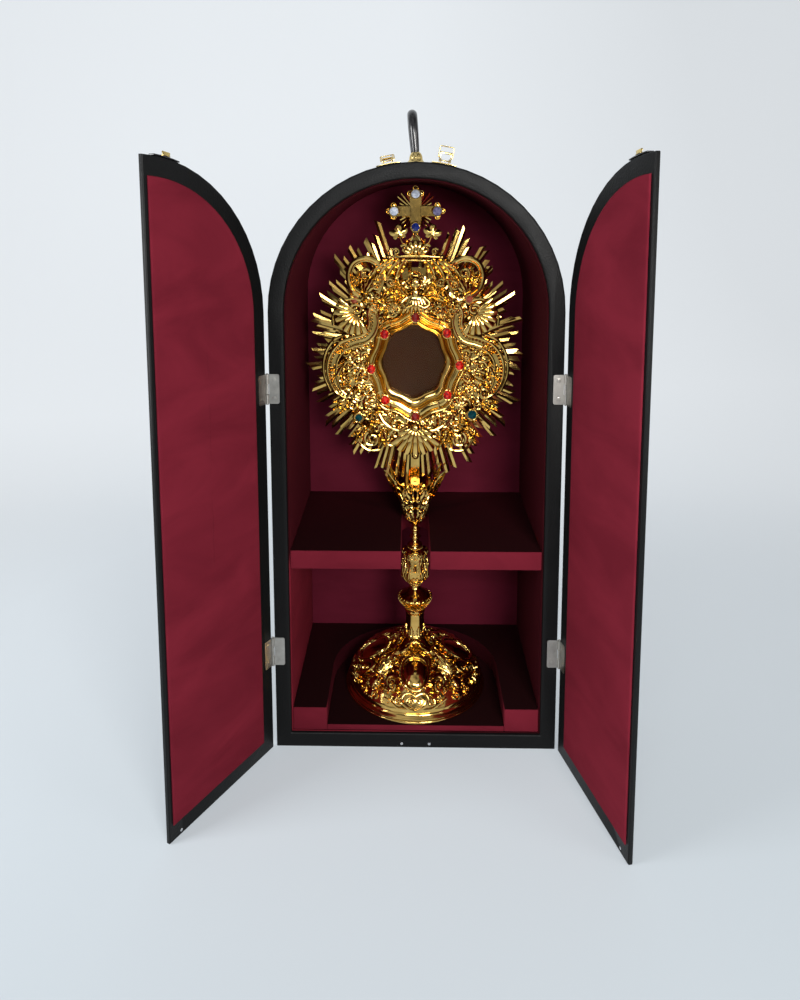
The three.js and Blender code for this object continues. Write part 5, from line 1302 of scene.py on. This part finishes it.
# Places of the big forms and how wide to keep clear of them: X to either side, Z and radius
CLEAR = [
    (60, 78, 7), (64, 62, 7), (76, 46, 8), (90, 38, 8), (104, 26, 8), (113, 7, 8), (112, -14, 8),
    (104, -32, 8), (92, 66, 17), (60, -101, 12), (67, 128, 9), (0, -105, 24), (0, 108, 15),
]


def rocaille(draw, count, low, high, start, end):
    """Small curls and leaves strewn over a band round the luna, outside the clear places."""
    forms = []
    for k in range(count):
        angle = math.radians(start + (end - start) * (k + draw.uniform(0.2, 0.8)) / count)
        share = draw.uniform(low, high)
        x = WREATH_SIDE * share * math.cos(angle)
        z = WREATH_TOP * share * math.sin(angle)
        heading = 90 - math.degrees(angle)
        if any(math.hypot(abs(x) - near, z - level) < size for near, level, size in CLEAR):
            continue
        if k % 3:
            size = draw.uniform(4.6, 7.8)
            turn = draw.choice((-1, 1)) * draw.uniform(300, 430)
            centre = (x, -6 - draw.uniform(0, 2.4), z)
            forms += volute(centre, size, draw.uniform(0, 360), turn, 0.3 * size)
        else:
            length = draw.uniform(15, 24)
            tilt = heading + draw.uniform(-70, 70)
            made = leaf(length, length * 0.5, 4, 2.0, 0.35, 1.3, 14, 7).turned_flat(tilt)
            forms.append(made.moved(x, -5.5 - draw.uniform(0, 2.5), z))
    return forms


def chased_height(x, z):
    """Raised veins and hollows a few millimetres wide, from 0 to 1."""
    first = noise.noise(Vector((x * 0.11, z * 0.11, 1.7)))
    second = noise.noise(Vector((x * 0.24, z * 0.24, 5.1)))
    return 1 - min(1.0, 2.4 * abs(first) + 1.1 * abs(second))


GROUND_AROUND, GROUND_ACROSS = 420, 30
GROUND_INSIDE, GROUND_OUTSIDE = 1.02, 1.6
GROUND_PILLOW, GROUND_CHASING, GROUND_EDGE = 1.6, 3.6, 0.4


def wreath_ground():
    """The band under the ornament, pillowed and chased all over."""
    rings = []
    for angle in turns(GROUND_AROUND):
        reach = GROUND_OUTSIDE * (1 + 0.035 * math.cos(8 * angle) + 0.02 * math.sin(13 * angle + 2))
        ring = []
        for share in np.linspace(0, 1, GROUND_ACROSS + 1):
            out = GROUND_INSIDE + (reach - GROUND_INSIDE) * share
            x, z = WREATH_SIDE * out * math.cos(angle), WREATH_TOP * out * math.sin(angle)
            rise = GROUND_PILLOW * math.sin(math.pi * min(1, 0.16 + 0.84 * share)) ** 0.6
            rise += GROUND_CHASING * chased_height(x, z) * abs(math.sin(math.pi * share)) ** 0.4
            ring.append((x, -max(GROUND_EDGE, rise), z))
        last, first = ring[-1], ring[0]
        rings.append([(first[0], 0, first[2])] + ring + [(last[0], 0, last[2])])
    return skin(rings, closed=True)


LOOP = [(50, 104), (44, 122), (50, 142), (66, 150), (84, 144), (91, 127), (87, 108), (76, 98)]


def side_forms():
    """Everything of the wreath that stands on its right side and is mirrored to the left."""
    edge = [
        (52, 76), (60, 82), (64, 74), (63, 60), (70, 46), (86, 41), (105, 32), (118, 13), (120, -10),
        (111, -32), (98, -42),
    ]
    forms = beaded_band(edge, -10.5, 2.3, 12.0, 2.0, 4.7)
    forms.append(scallop(30, 172, 9, 5.5).turned_flat(128).moved(80, -9.5, 76))
    forms += bars(
        ([(96, -6, 44), (112, -6, 37), (124, -6, 17), (126, -6, -9), (117, -6, -34)], 2.2),
        ([(74, -9, 92), (88, -11, 95), (103, -10, 87), (112, -9, 72), (112, -8, 58)], 2.0, 36),
        ([(x, -9, z) for x, z in LOOP], 3.3, 60),
        ([(x * 0.82 + 12, -9.5, z * 0.84 + 20) for x, z in LOOP], 1.3, 60),
        ([(80, -8, -86), (78, -10, -104), (66, -10, -116), (50, -9, -116), (41, -8, -106)], 2.1),
        ([(12, -9, -84), (22, -12, -88), (34, -11, -84), (44, -10, -76), (50, -8, -66)], 2.0, 34),
    )
    forms += curls(
        (96, -9, -35, 8, -60, -420, 2.2), (56, -10, 83, 6, 200, 400, 2.0), (80, -11, 80, 8.5, 20, 430, 2.4),
        (66, -10, 129, 8, -40, 430, 2.2), (52, -11, 112, 7, 120, -420, 2.0),
        (34, -12, 118, 6.5, 200, 420, 1.9), (90, -9, 2, 8, 0, 420, 2.2), (100, -9, -16, 7.5, 120, -400, 2.1),
        (87, -9, -54, 7, 90, 400, 2.0), (60, -10, -101, 12, 60, -470, 2.8), (27, -11, -93, 8, -10, 430, 2.3),
    )
    for row in (
        ((70, 102), -28, (34, 38, 30), 13, 26), ((80, 112), 8, (24, 20), 10, 34),
        ((44, 92), -52, (26, 32, 26), 11, 24, -9), ((30, 96), -20, (22, 26), 10, 30, -10),
        ((100, 4), 150, (24, 30, 24), 12, 30), ((92, 22), 60, (20, 24, 20), 10, 34),
        ((92, -48), 118, (22, 26, 22), 11, 28), ((70, -84), 150, (24, 28, 22), 11, 26),
        ((44, -88), 176, (28, 26), 11, 22),
    ):
        forms += spray(*row)
    return forms


# Stones in the wreath: X, Z, size, material and name
STONES = [
    (-78, -71, 5.2, TEAL, "stone_teal_left"),
    (78, -66, 6.4, TEAL, "stone_teal_right"),
    (-83, 93, 5.2, DULL_RED, "stone_dull_left"),
    (73, 94, 5.2, DULL_RED, "stone_dull_right"),
]
HEAD = np.array([0, -21, 113.0])


def figure():
    """A small calm cherub, half length, under the canopy."""
    forms = []
    forms.append(ball(HEAD, (6.6, 6.6, 8.0), 24, 16))
    forms.append(ball(HEAD + [0, -6.3, -0.6], (1.0, 1.3, 1.5), 10, 8))
    for side in (-1, 1):
        forms.append(ball(HEAD + [side * 2.6, -5.2, 1.1], (1.35, 0.9, 0.75), 10, 7))
        brow = HEAD + [(side * 1.0, -6.0, 2.6), (side * 2.8, -5.9, 3.2), (side * 4.4, -4.7, 2.4)]
        forms.append(sweep(smooth_path(brow, 10), 0.45, 6))
        forms.append(ball(HEAD + [side * 3.4, -4.4, -2.0], (2.0, 1.6, 1.9), 10, 8))
        forms.append(ball(HEAD + [side * 6.4, 0.4, -0.3], (0.9, 1.3, 1.8), 8, 6))
    forms.append(ball(HEAD + [0, -5.9, -3.4], (1.9, 0.7, 0.55), 10, 6))
    forms.append(ball(HEAD + [0, -5.2, -5.9], (1.9, 1.3, 1.3), 10, 7))
    draw = random.Random(3)
    for k in range(40):
        turn = math.pi * (k % 10) / 9
        tier = k // 10
        r = 7.2 - 0.4 * tier
        lift = 2.2 + 1.9 * tier
        x, y = r * math.cos(turn) * (1 - 0.13 * tier), 3.2 - 4.5 * math.sin(turn) * (1 - 0.1 * tier)
        forms.append(ball(HEAD + [x, y, lift], draw.uniform(1.3, 1.8), 8, 6))
    forms.append(ball((0, -16, 101), (5.0, 4.4, 6.0), 16, 10))
    forms.append(ball((0, -14, 93), (12.5, 6.0, 8.5), 20, 12))
    for side in (-1, 1):
        arm = [(side * 9, -16, 96), (side * 15, -18, 90), (side * 10, -21, 85), (side * 3, -22, 88)]
        forms.append(sweep(smooth_path(arm, 20), [2.9, 2.6, 2.1, 1.5], 10))
        for k, length in enumerate((26, 23, 19)):
            wing = leaf(length, 9, 6, 1.6, 0.2, 1.6).turned_flat(side * (38 + 24 * k))
            forms.append(wing.moved(side * 8, -13 + k, 97 - 2.5 * k))
    for k in range(7):
        x = -12 + 4 * k
        fold = [(x * 0.6, -18, 94), (x * 0.9, -19 + 0.5 * abs(k - 3), 86), (x * 1.15, -15, 79)]
        forms.append(sweep(smooth_path(fold, 14), [1.5, 2.0, 1.2], 8))
    return forms


def maple(size):
    """A flat five-pointed leaf with raised veins."""
    rings = []
    for share, y in ((0.0, 0.9), (1.0, 0.9), (1.0, 0.0), (0.55, -1.3), (0.1, -1.9)):
        ring = []
        for k in range(80):
            angle = TAU * k / 80
            point = 0.64 + 0.36 * abs(math.cos(2.5 * (angle - math.pi / 2))) ** 1.4
            low = 0.45 + 0.55 * min(1, max(0, (math.sin(angle) + 1) / 0.55))
            vein = 0.7 * abs(math.cos(2.5 * (angle - math.pi / 2))) ** 6 * share * (1 - share) * 4
            reach = size * share * point * low
            ring.append((reach * math.cos(angle), y - vein, reach * math.sin(angle)))
        rings.append(ring)
    return skin(rings)


def canopy():
    """The crowned canopy over the figure, with its cloth swept to both sides."""
    rods = [(-34, -12, 151), (-12, -15, 152.5), (12, -15, 152.5), (34, -12, 151)]
    forms = [sweep(rods, [1.4, 2.2, 2.2, 1.4], 10)]
    forms.append(sweep([(-24, -13, 146), (0, -16, 147), (24, -13, 146)], [1.2, 1.7, 1.2], 10))
    for side in (-1, 1):
        forms.append(ball((side * 35, -12, 151), 3.0, 12, 9))
        cloth = ((14, 148, 156, 30), (22, 148, 146, 36), (30, 147, 137, 38), (37, 146, 126, 34))
        for k, (x, z, tilt, length) in enumerate(cloth):
            fold = leaf(length, 12, 3, 3.2, 0.4, 2.4, 18, 9).turned_flat(side * tilt)
            forms.append(fold.moved(side * x, -13 + 1.2 * k, z))
            edge = [(x, -16 + k, z - 1), (x + 9 + 3 * k, -17 + k, z - 13), (x + 14 + 4 * k, -13 + k, z - 27)]
            hem = smooth_path([(side * at, y, level) for at, y, level in edge], 20)
            forms.append(sweep(hem, [1.3, 2.2, 1.4], 8))
        start = 90 - side * 60
        forms += curls((side * 14.0, -13, 162, 6.5, start, side * 400, 1.9),
                       (side * 26.0, -11, 158, 5.0, start, side * 400, 1.6))
        for k, tilt in enumerate((22, 48, 74)):
            made = leaf(20 - 3 * k, 8, 4, 1.2, 0.3).turned_flat(side * tilt)
            forms.append(made.moved(side * 6, -9, 158 - k))
    forms.append(scallop(20, 150, 7, 5.5).moved(0, -10, 152))
    forms.append(ball((0, -13, 158), (4.5, 4, 5), 14, 10))
    arch = [(-9, -11, 170), (-5, -13, 176), (0, -12, 181), (5, -13, 176), (9, -11, 170)]
    forms.append(curve_bar(arch, 1.9, 30))
    forms += collet((0, -8, 191), 6.4, 3.4)
    for side in (-1, 1):
        forms.append(maple(13).turned_flat(side * 10).moved(side * 22.5, -7, 182))
        stalk = [(side * 22, -6, 179), (side * 18, -7, 170), (side * 11, -8, 163)]
        forms.append(sweep(smooth_path(stalk, 14), 1.2, 8))
    return forms


def make_wreath():
    draw = random.Random(21)
    gilded("wreath_ground", at_luna(wreath_ground()))
    forms = []
    for low, high, count in ((1.08, 1.2, 26), (1.2, 1.36, 28), (1.36, 1.6, 30)):
        forms += rocaille(draw, count, low, high, -84, 84)
        forms += mirrored(rocaille(draw, count, low, high, -84, 84))
    forms += rocaille(draw, 16, 1.12, 1.5, 60, 120)
    right = [form.moved(0, -2.2, 0) for form in side_forms()]
    forms += right + mirrored(right)
    forms.append(scallop(41, 120, 7, 8.5).scaled(z=-1).moved(0, -8, -82))
    forms.append(scallop(24, 150, 7, 5.0).scaled(z=-1).moved(0, -13, -82))
    forms.append(ball((0, -15, -84), (7, 5, 6), 18, 12))
    forms.append(ball((0, -12, -124), (5.4, 5, 5.4), 18, 12))
    for side in (-1, 1):
        forms += volute((side * 12.0, -13, -100), 7, 90 + side * 80, side * -400, 2.1)
    for x, z, size, _, _ in STONES:
        forms += collet((x, -8, z), size + 1.2, 3.6)
    gilded("wreath_finish", at_luna(forms), GOLD, ("wreath",))
    grown = together(figure()).moved(0, 0, -92).scaled(1.25, 1.0, 1.2).moved(0, 0, 92)
    gilded("wreath_figure", at_luna(grown))
    gilded("wreath_canopy", at_luna(canopy()))
    for x, z, size, material, name in STONES:
        gilded(name, at_luna(cut_stone((x, -11.4, z), size, 2.8)), material, smooth=FACET_DEGREES)
    gilded("stone_blue", at_luna(cut_stone((0, -11.2, 191.0), 5.8, 3.2)), BLUE, smooth=FACET_DEGREES)


# Cross with framed bars, three stones, buds and beams
ARM_Z, ARM_HALF, STEM_HALF = 679, 6.7, 7.8
CROSS_Y, FRAME_HEIGHT = -4.5, 0.8
TOP_Z = 713
HALF_SPAN = 40


def framed_bar(corners, y, depth):
    """A flat bar with a raised edge round it, from its corners in X and Z."""
    outline = np.array([(x, 0, z) for x, z in corners], float)
    middle = outline.mean(axis=0)
    inner = middle + (outline - middle) * [0.8, 1, 0.9]
    edge = y - FRAME_HEIGHT
    rows = ((outline, y + depth), (outline, edge), (inner, edge), (inner, y))
    return skin([row + [0, level, 0] for row, level in rows])


def make_cross():
    forms, stones = [], []
    y = CROSS_Y
    low, high = ARM_Z - ARM_HALF, ARM_Z + ARM_HALF
    upright = [
        (-6.2, 662), (6.2, 662), (STEM_HALF, 671), (STEM_HALF, ARM_Z + 24), (-STEM_HALF, ARM_Z + 24),
        (-STEM_HALF, 671),
    ]
    forms.append(framed_bar(upright, y, 2.6))
    for side in (-1, 1):
        corners = [(side * x, z) for x, z in ((4, low), (31, low), (31, high), (4, high))]
        forms.append(framed_bar(corners[::side], y, 2.6))
    ends = (
        ("top", OPAL, 0, TOP_Z - 11, 0, 1), ("left", OPAL, -HALF_SPAN + 11, ARM_Z, -1, 0),
        ("right", VIOLET, HALF_SPAN - 11, ARM_Z, 1, 0),
    )
    for name, material, x, z, dx, dz in ends:
        forms += collet((x, y + 2.2, z), 6.8, 4.6)
        stones.append((name, cut_stone((x, y - 3.0, z), 5.9, 1.8, 12), material))
        for bud in (1, 0, -1):
            reach = 7.2 if bud == 0 else 0.6
            bx = x + dx * reach + dz * bud * 7.6
            bz = z + dz * reach + dx * bud * 7.6
            forms.append(ball((bx, y + 0.6, bz), (3.9, 2.2, 3.9), 16, 10))
            ring = np.array(oval(3.6, 3.6, y - 0.4, 20)) + (bx, 0, bz)
            forms.append(sweep(ring, 0.6, 6, closed=True))
    for sx in (-1, 1):
        for sz in (-1, 1):
            for degrees, length in ((28, 25), (40, 32), (52, 32), (64, 25)):
                steep = math.radians(degrees)
                turn = math.atan2(sz * math.sin(steep), sx * math.cos(steep))
                ray = blade(turn, 0, 4, length, 3.0, 1.6 * sx, y + 0.9, 0.7)
                forms.append(ray.moved(0, 0, ARM_Z))
    gilded("cross_finish", at_monstrance(forms), GOLD, ("cross",), 30)
    for name, cut, material in stones:
        gilded(f"cross_stone_{name}", at_monstrance(cut), material, smooth=FACET_DEGREES)
    tang = np.array([(-4, 1.8, 612), (4, 1.8, 612), (4, 1.8, 668), (-4, 1.8, 668)])
    gilded("cross_tang", at_monstrance(skin([tang, tang + (0, 2, 0)])))


make_sunburst()
make_luna()
make_wreath()
make_cross()


# Doors: what lies on them is built shut and then swung open about their pins
HINGE_X, HINGE_Y = 187.2, -112.75
DOOR_INNER = -113
OPENING = {-1: 119, 1: 103.5}
SIDES = {-1: "left", 1: "right"}


def swung(forms, side):
    turn = Matrix.Rotation(math.radians(side * OPENING[side]), 3, "Z")
    return as_form(forms).moved(-side * HINGE_X, -HINGE_Y, 0).turned(turn).moved(side * HINGE_X, HINGE_Y, 0)


PAD_FILL, PAD_LIFT, PAD_EDGE = 0.9, 0.3, 9
PAD_RADIUS, PAD_MIDDLE, PAD_FOOT = 163.5, 5.4, 21.5
FOOT_STEPS, SIDE_STEPS, ARCH_STEPS, MIDDLE_STEPS = 16, 60, 44, 76
# Height of each wave, its frequency along X and Z, and its place in the noise
PAD_WAVES = ((0.22, 0.03, 0.012, 3.1), (0.1, 0.09, 0.05, 7.7))
PAD_RINGS = [
    (0.5, 0), (0, 0.3), (0, 1.2), (0.3, 1.7), (0.9, 2.05), (2, 2.25), (4, 2.4), (7, 2.5), (11, 2.6),
    (16, 2.7), (22, 2.8), (29, 2.85), (37, 2.9), (46, 2.95), (56, 3.0), (66, 3.0), (76, 3.0),
]


def pad_outline(inset, side):
    """Points round the half arch, drawn in by inset, on the door that is shut."""
    near, far, low = PAD_MIDDLE + inset, PAD_RADIUS - inset, PAD_FOOT + inset
    end = math.acos(near / far)
    points = [(near + (far - near) * k / FOOT_STEPS, low) for k in range(FOOT_STEPS)]
    points += [(far, low + (SPRING - low) * k / SIDE_STEPS) for k in range(SIDE_STEPS)]
    for a in (end * k / ARCH_STEPS for k in range(ARCH_STEPS)):
        points.append((far * math.cos(a), SPRING + far * math.sin(a)))
    top = SPRING + far * math.sin(end)
    points += [(near, top + (low - top) * k / MIDDLE_STEPS) for k in range(MIDDLE_STEPS)]
    return [(side * x, z) for x, z in points]


def make_pad(side):
    """Velvet over a thin pad: crowned, pressed round its edge, with faint waves."""
    rings = []
    for inset, rise in PAD_RINGS:
        ring = []
        for x, z in pad_outline(inset, side):
            wave = 0
            for height, across, up, seed in PAD_WAVES:
                wave += height * noise.noise(Vector((x * across, z * up, seed * side)))
            ring.append((x, DOOR_INNER + PAD_LIFT + rise + min(1.0, inset / PAD_EDGE) * wave, z))
        rings.append(ring)
    label = SIDES[side]
    pad = dressed(f"door_pad_{label}", swung(skin(rings), side), VELVET, f"{label}_door")


# Hinges: leaves with rounded corners and two slotted screws each, knuckles and pins
LEAF_HALF, LEAF_WIDTH, LEAF_THICKNESS, LEAF_CORNER = 19, 15.5, 1.2, 2.5
KNUCKLE, KNUCKLE_ROOM, HINGE_PLAY = 1.9, 2.3, 0.2
PIN, PIN_HEAD = 0.85, 1.6
SCREW_HEIGHT, SCREW_FROM_PIN = 12.0, 8.6
HINGE_LEVELS = {"lower": 135.5, "upper": SPRING - 97}


def leaf_plate(side, gaps):
    """A leaf that faces the front at Y = 0, without the parts of its pin edge named by gaps."""
    inner, outer = HINGE_X - LEAF_WIDTH, HINGE_X
    outline = [(outer, -LEAF_HALF)]
    for centre_z, start in ((-LEAF_HALF + LEAF_CORNER, 270), (LEAF_HALF - LEAF_CORNER, 180)):
        for k in range(9):
            a = math.radians(start - 90 * k / 8)
            x = inner + LEAF_CORNER + LEAF_CORNER * math.cos(a)
            outline.append((x, centre_z + LEAF_CORNER * math.sin(a)))
    outline.append((outer, LEAF_HALF))
    for low, high in gaps:
        back = outer - KNUCKLE_ROOM
        outline += [(outer, high), (back, high), (back, low), (outer, low)]
    points = np.array([(side * x, 0, z) for x, z in outline])
    return skin([points + [0, LEAF_THICKNESS, 0], points])


def screw(x, z, tilt, radius=2.5):
    """A slotted countersunk head that stands a little proud of Y = 0."""
    seat = oval(1.18 * radius, 1.18 * radius, 0.04, 24)
    forms = [drum((0, 0, 0), radius * 0.98, 0.04, 24, 0.01), sweep(seat, 0.2, 6, closed=True)]
    for half in (0, math.pi):
        arc = np.linspace(math.radians(8), math.pi - math.radians(8), 14) + half
        rings = []
        for share, y in ((1.0, 0.0), (1.0, -0.08), (0.8, -0.17), (0.5, -0.2)):
            shift = 0.28 * (1 - share) * math.cos(half)
            reach = share * radius
            rings.append([(reach * math.cos(a), y, reach * math.sin(a) + shift) for a in arc])
        forms.append(skin(rings))
    return together(forms).turned_flat(tilt).moved(x, 0, z)


def knuckle(side, low, high, radius=KNUCKLE):
    rings = []
    for share, z in ((0.86, low), (1.0, low + 0.25), (1.0, high - 0.25), (0.86, high)):
        rings.append(np.array(level_ring(share * radius, z, 24)) + (side * HINGE_X, HINGE_Y, 0))
    return skin(rings)


def make_hinges():
    third, play = LEAF_HALF / 3, HINGE_PLAY
    for side, label in SIDES.items():
        for number, (level, z) in enumerate(HINGE_LEVELS.items()):
            name = f"{label}_{level}"
            x = side * (HINGE_X - SCREW_FROM_PIN)
            turned = 37 * side + 23 * number
            screws = [screw(x, end * SCREW_HEIGHT, turned + 61 * end) for end in (-1, 1)]
            plate = [leaf_plate(side, [(-third - play, third + play)])] + screws
            forms = [form.moved(0, FRONT, z) for form in plate]
            for low, high in ((-LEAF_HALF, -third - play), (third + play, LEAF_HALF)):
                forms.append(knuckle(side, z + low, z + high))
            piece(f"hinge_case_{name}", forms, NICKEL, "case", (f"hinge_case_leaf_{name}",))
            gaps = [(third - play, LEAF_HALF), (-LEAF_HALF, -third + play)]
            plate = [leaf_plate(side, gaps)] + screws
            forms = [form.scaled(y=-1).moved(0, DOOR_INNER, z) for form in plate]
            forms.append(knuckle(side, z - third + play, z + third - play))
            piece(f"hinge_door_{name}", swung(forms, side), NICKEL, f"{label}_door",
                  (f"hinge_door_leaf_{name}",))
            parts = ((LEAF_HALF + 0.3, LEAF_HALF + 1.1, PIN_HEAD),
                     (-LEAF_HALF - 1.1, -LEAF_HALF - 0.3, PIN_HEAD),
                     (-LEAF_HALF - 0.5, LEAF_HALF + 0.5, PIN))
            pin = [knuckle(side, z + low, z + high, radius) for low, high, radius in parts]
            dressed(f"hinge_pin_{name}", pin, NICKEL, "case")


# Latches, keepers and magnets
LATCH_X = 34
LATCH_TURN = math.asin(LATCH_X / HALF_WIDTH)
LATCH_PIVOT = (FRONT + 5.5, 4.2)
LEVER_TILT = {-1: 25, 1: 90}
LOOP_HALF, LOOP_LENGTH, LOOP_CORNER, LOOP_WIRE = 8.5, 13.5, 1.6, 0.7
LOOP_FROM_PIVOT, LOOP_HOOK = 3.6, 6.4


def on_arch(forms, side):
    """From X along the arch and Z out of it to the frame of the case."""
    turned = as_form(forms).turned(Matrix.Rotation(side * LATCH_TURN, 3, "Y"))
    x, z = HALF_WIDTH * math.sin(LATCH_TURN), HALF_WIDTH * math.cos(LATCH_TURN)
    return turned.moved(side * x, 0, SPRING + z)


def make_loop(side):
    label = SIDES[side]
    path = [(0, 0), (0, LOOP_LENGTH - LOOP_CORNER), (0.5, LOOP_LENGTH - 0.5), (LOOP_CORNER, LOOP_LENGTH)]
    path = [(x - LOOP_HALF, y, 0) for x, y in path]
    path += [(-x, y, z) for x, y, z in path[::-1]]
    forms = [sweep(path, LOOP_WIRE, 12, facing=(0, 0, 1))]
    for end in (-1, 1):
        forms.append(sweep([(end * LOOP_HALF, 0, 0), (end * LOOP_HOOK, 0, 0)], 0.6, 12, facing=(0, 0, 1)))
        forms.append(ball((end * LOOP_HALF, 0, 0), 0.72, 12, 8))
    tilt = Matrix.Rotation(math.radians(LEVER_TILT[side]), 3, "X")
    placed = together(forms).moved(0, LOOP_FROM_PIVOT, 0).turned(tilt).moved(0, *LATCH_PIVOT)
    dressed(f"latch_loop_{label}", on_arch(placed, side), BRASS, f"{label}_loop")


def make_latches():
    for side, label in SIDES.items():
        refined(f"latch_plate_{label}", BRASS, bevel=0.2)
        refined(f"latch_lever_{label}", BRASS, bevel=0.22)
        make_loop(side)
        refined(f"keeper_plate_{label}", BLACK, bevel=0.3)
        refined(f"keeper_hook_{label}", BRASS, bevel=0.18)
        refined(f"case_magnet_{label}", STEEL, bevel=0.2)
        refined(f"door_magnet_{label}", STEEL, bevel=0.2)


# Handle: bell-shaped posts slotted for the bail's ends, and the bail
HANDLE_SPAN, HANDLE_RISE, HANDLE_LEAN = 116, 71, 5
HANDLE_PIVOT = 9
GRIP, LEG = 6.6, 4.7
BELL = [
    (12.1, 0.3), (12.5, 0.6), (12.5, 1.2), (12.0, 1.6), (10.6, 2.6), (9.4, 3.9), (8.8, 5.4), (8.7, 7.4),
    (8.3, 9.4), (7.5, 11.6), (6.3, 13.4), (5.0, 14.6), (4.2, 15.0),
]
SHANK_RADIUS, SHANK_LOW, SHANK_HIGH, SHANK_HOLE = 2.1, -13, 14.9, 2.0
SLOT_HALF, SLOT_DEPTH, SLOT_LENGTH, SLOT_TOP = 2.3, 4.8, 14, 20
PIN_HALF, PIN_RADIUS = 3.2, 1.5
BEND, LEG_START = 26, 5.2
TAB_RADIUS, TAB_TOP, TAB_HALF = 4.5, 9.5, 2


def make_posts():
    bell = [(SHANK_HOLE, BELL[0][1])] + BELL + [(SHANK_HOLE, BELL[-1][1])]
    slot = [(x * SLOT_LENGTH, y * SLOT_HALF) for x, y in ((-1, -1), (1, -1), (1, 1), (-1, 1))]
    level = CROWN + HANDLE_PIVOT
    for end, label in ((-1, "front"), (1, "rear")):
        centre = end * HANDLE_SPAN / 2
        shank = skin([level_ring(SHANK_RADIUS, z, 16) for z in (SHANK_LOW, SHANK_HIGH)])
        form = together([lathe(bell, 64), shank]).moved(0, centre, CROWN)
        post = dressed(f"handle_post_{label}", form, BRASS, "case")
        rows = [[(x, centre + y, z) for x, y in slot] for z in (level - SLOT_DEPTH, CROWN + SLOT_TOP)]
        carve(post, skin(rows))
        ends = [(0, centre - PIN_HALF, level), (0, centre + PIN_HALF, level)]
        pin = sweep(ends, PIN_RADIUS, 16, facing=(0, 0, 1))
        piece(f"handle_pin_{label}", pin, BRASS, "case")


def grip_radius(t):
    return LEG + (GRIP - LEG) * math.sin(math.pi * min(1, max(0, t))) ** 0.6


def make_bail():
    reach, top = HANDLE_SPAN / 2, HANDLE_RISE - HANDLE_PIVOT - GRIP
    path = [(0, -reach, LEG_START + (top - BEND - LEG_START) * k / 8) for k in range(9)]
    for t in (k / 14 for k in range(1, 15)):
        path.append((0, -reach + BEND * t * t, top - BEND + BEND * (2 * t - t * t)))
    path += [(0, BEND - reach + (reach - BEND) * k / 8, top) for k in range(1, 9)]
    path += [(0, -y, z) for _, y, z in path[::-1][1:]]
    forms = [sweep(path, grip_radius, 28, facing=(1, 0, 0))]
    for end in (-1, 1):
        y, r = end * reach, TAB_RADIUS
        lower = [(r * math.cos(a), y, r * math.sin(a)) for a in np.linspace(math.pi, TAU, 17)]
        tab = np.array([(-r, y, TAB_TOP)] + lower + [(r, y, TAB_TOP)])
        forms.append(skin([tab - (0, TAB_HALF, 0), tab + (0, TAB_HALF, 0)]))
    lean = Matrix.Rotation(math.radians(-HANDLE_LEAN), 3, "Y")
    bail = together(forms).turned(lean).moved(0, 0, CROWN + HANDLE_PIVOT)
    dressed("handle_bail", bail, BLACK, "handle")


for side in SIDES:
    make_pad(side)
make_hinges()
make_latches()
make_posts()
make_bail()


# Back of the luna
DOOR_HOLE = (0.5, -10, 15)


def make_luna_back():
    low, high = box_mm("luna_glass_rear")
    rear = at_luna(lens_oval(PANE_LAP, low[1] - PLATE_FRONT, high[1] - PLATE_FRONT))
    # The rear pane's dark tint is painted shade.
    dressed("luna_glass_rear", rear, DARKENED_PANE, "luna_door")
    door = refined("luna_door", GOLD, bevel=0.4)
    carve(door, at_luna(lens_oval(*DOOR_HOLE)))
    refined("tie_rod", GOLD, bevel=0.2)


make_luna_back()
